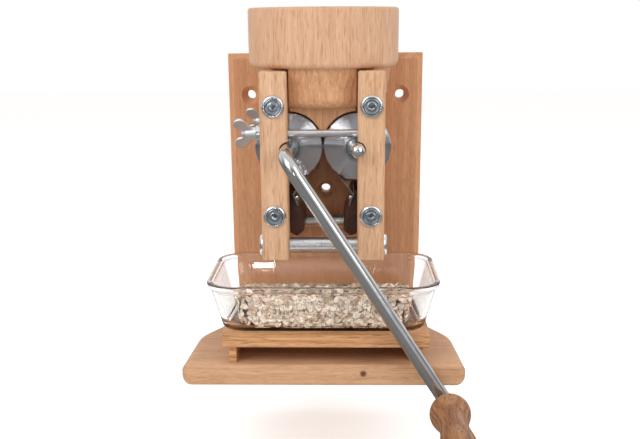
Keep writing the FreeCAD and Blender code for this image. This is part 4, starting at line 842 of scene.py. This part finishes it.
points, faces = [], []
for where, outward, swing in perches:
    spin = Matrix.Rotation(luck.uniform(0, 2 * math.pi), 3, "Z")
    tipped_by = math.radians(luck.uniform(-swing, swing))
    about = Vector((luck.uniform(-1, 1), luck.uniform(-1, 1), 0)).normalized()
    tip = Matrix.Rotation(tipped_by, 3, about)
    stand = Vector((0, 0, 1)).rotation_difference(outward).to_matrix()
    size = luck.uniform(0.72, 1.12)
    first = len(points)
    for corner_point in luck.choice(flake_shapes):
        moved = keep_inside(where + stand @ tip @ spin @ (corner_point * size))
        points.append((bowl_centre.x + moved.x * mm, bowl_centre.y + moved.y * mm,
                       bowl_foot + moved.z * mm))
    faces.extend(tuple(first + corner for corner in face) for face in flake_faces)
flake_mesh = bpy.data.meshes.new("loose_flakes")
flake_mesh.from_pydata(points, [], faces)
loose_flakes = bpy.data.objects.new("loose_flakes", flake_mesh)
scene.collection.objects.link(loose_flakes)
pick(loose_flakes)
bpy.ops.object.shade_smooth()

oats, meal = new_finish("oat_flakes")
meal_place = add_node(oats, "ShaderNodeTexCoord")
each = add_node(oats, "ShaderNodeNewGeometry")
mottle = add_node(oats, "ShaderNodeTexNoise", Scale=420, Detail=3)
wire(oats, meal_place, "Object", mottle, "Vector")
bran = add_node(oats, "ShaderNodeTexNoise", Scale=900, Detail=1)
wire(oats, meal_place, "Object", bran, "Vector")
meal_tones = add_node(oats, "ShaderNodeValToRGB")
meal_tones.color_ramp.elements[0].position = 0.3
meal_tones.color_ramp.elements[0].color = tone("#e0c4a4")
meal_tones.color_ramp.elements[1].position = 0.6
meal_tones.color_ramp.elements[1].color = tone("#fbefe0")
wire(oats, mottle, "Fac", meal_tones, "Fac")
bran_edge = add_node(oats, "ShaderNodeMapRange", From_Min=0.64, From_Max=0.72, To_Max=0.6)
wire(oats, bran, "Fac", bran_edge, "Value")
branned = add_node(oats, "ShaderNodeMix", data_type="RGBA", B=tone("#7d5530"))
wire(oats, bran_edge, "Result", branned, "Factor")
wire(oats, meal_tones, "Color", branned, "A")
shade_each = add_node(oats, "ShaderNodeMapRange", From_Max=0.6, To_Min=0.75, To_Max=0.0)
wire(oats, each, "Random Per Island", shade_each, "Value")
shaded = add_node(oats, "ShaderNodeMix", data_type="RGBA", B=tone("#9a6f45"))
wire(oats, shade_each, "Result", shaded, "Factor")
wire(oats, branned, "Result", shaded, "A")
wire(oats, shaded, "Result", meal, "Base Color")
meal.inputs["Roughness"].default_value = 0.75
meal_bump = add_node(oats, "ShaderNodeBump", Strength=0.5, Distance=0.0003)
wire(oats, mottle, "Fac", meal_bump, "Height")
wire(oats, meal_bump, "Normal", meal, "Normal")
loose_flakes.data.materials.append(oats)

# A darker core in painted shade stands for the flakes deeper in, so that no light shows through the heap.
heap_core = bpy.data.objects.new("heap_core", nodes["oat_flakes"].data.copy())
scene.collection.objects.link(heap_core)
pick(heap_core)
bpy.ops.object.mode_set(mode="EDIT")
bpy.ops.mesh.select_all(action="SELECT")
bpy.ops.mesh.remove_doubles(threshold=0.000001)
heap_middle = (heap_low + heap_high) / 2
bpy.ops.transform.resize(value=(0.79, 0.87, 0.78),
                         center_override=(heap_middle.x, heap_middle.y, heap_low.z + 0.0003))
bpy.ops.object.mode_set(mode="OBJECT")
core_shade_finish, dim = new_finish("oat_painted_shade")
core_shade_place = add_node(core_shade_finish, "ShaderNodeTexCoord")
core_shade_mottle = add_node(core_shade_finish, "ShaderNodeTexNoise", Scale=300, Detail=3)
wire(core_shade_finish, core_shade_place, "Object", core_shade_mottle, "Vector")
# Painted shade: two dark browns, mottled by noise, for the shadow in the gaps between the flakes.
painted_shade_tones = add_node(core_shade_finish, "ShaderNodeMix", data_type="RGBA", A=tone("#6d4c2e"), B=tone("#a98a63"))
wire(core_shade_finish, core_shade_mottle, "Fac", painted_shade_tones, "Factor")
wire(core_shade_finish, painted_shade_tones, "Result", dim, "Base Color")
dim.inputs["Roughness"].default_value = 0.9
heap_core.data.materials.clear()
heap_core.data.materials.append(core_shade_finish)
for piece in (loose_flakes, heap_core):
    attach(piece, "bowl")
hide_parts("oat_flakes")
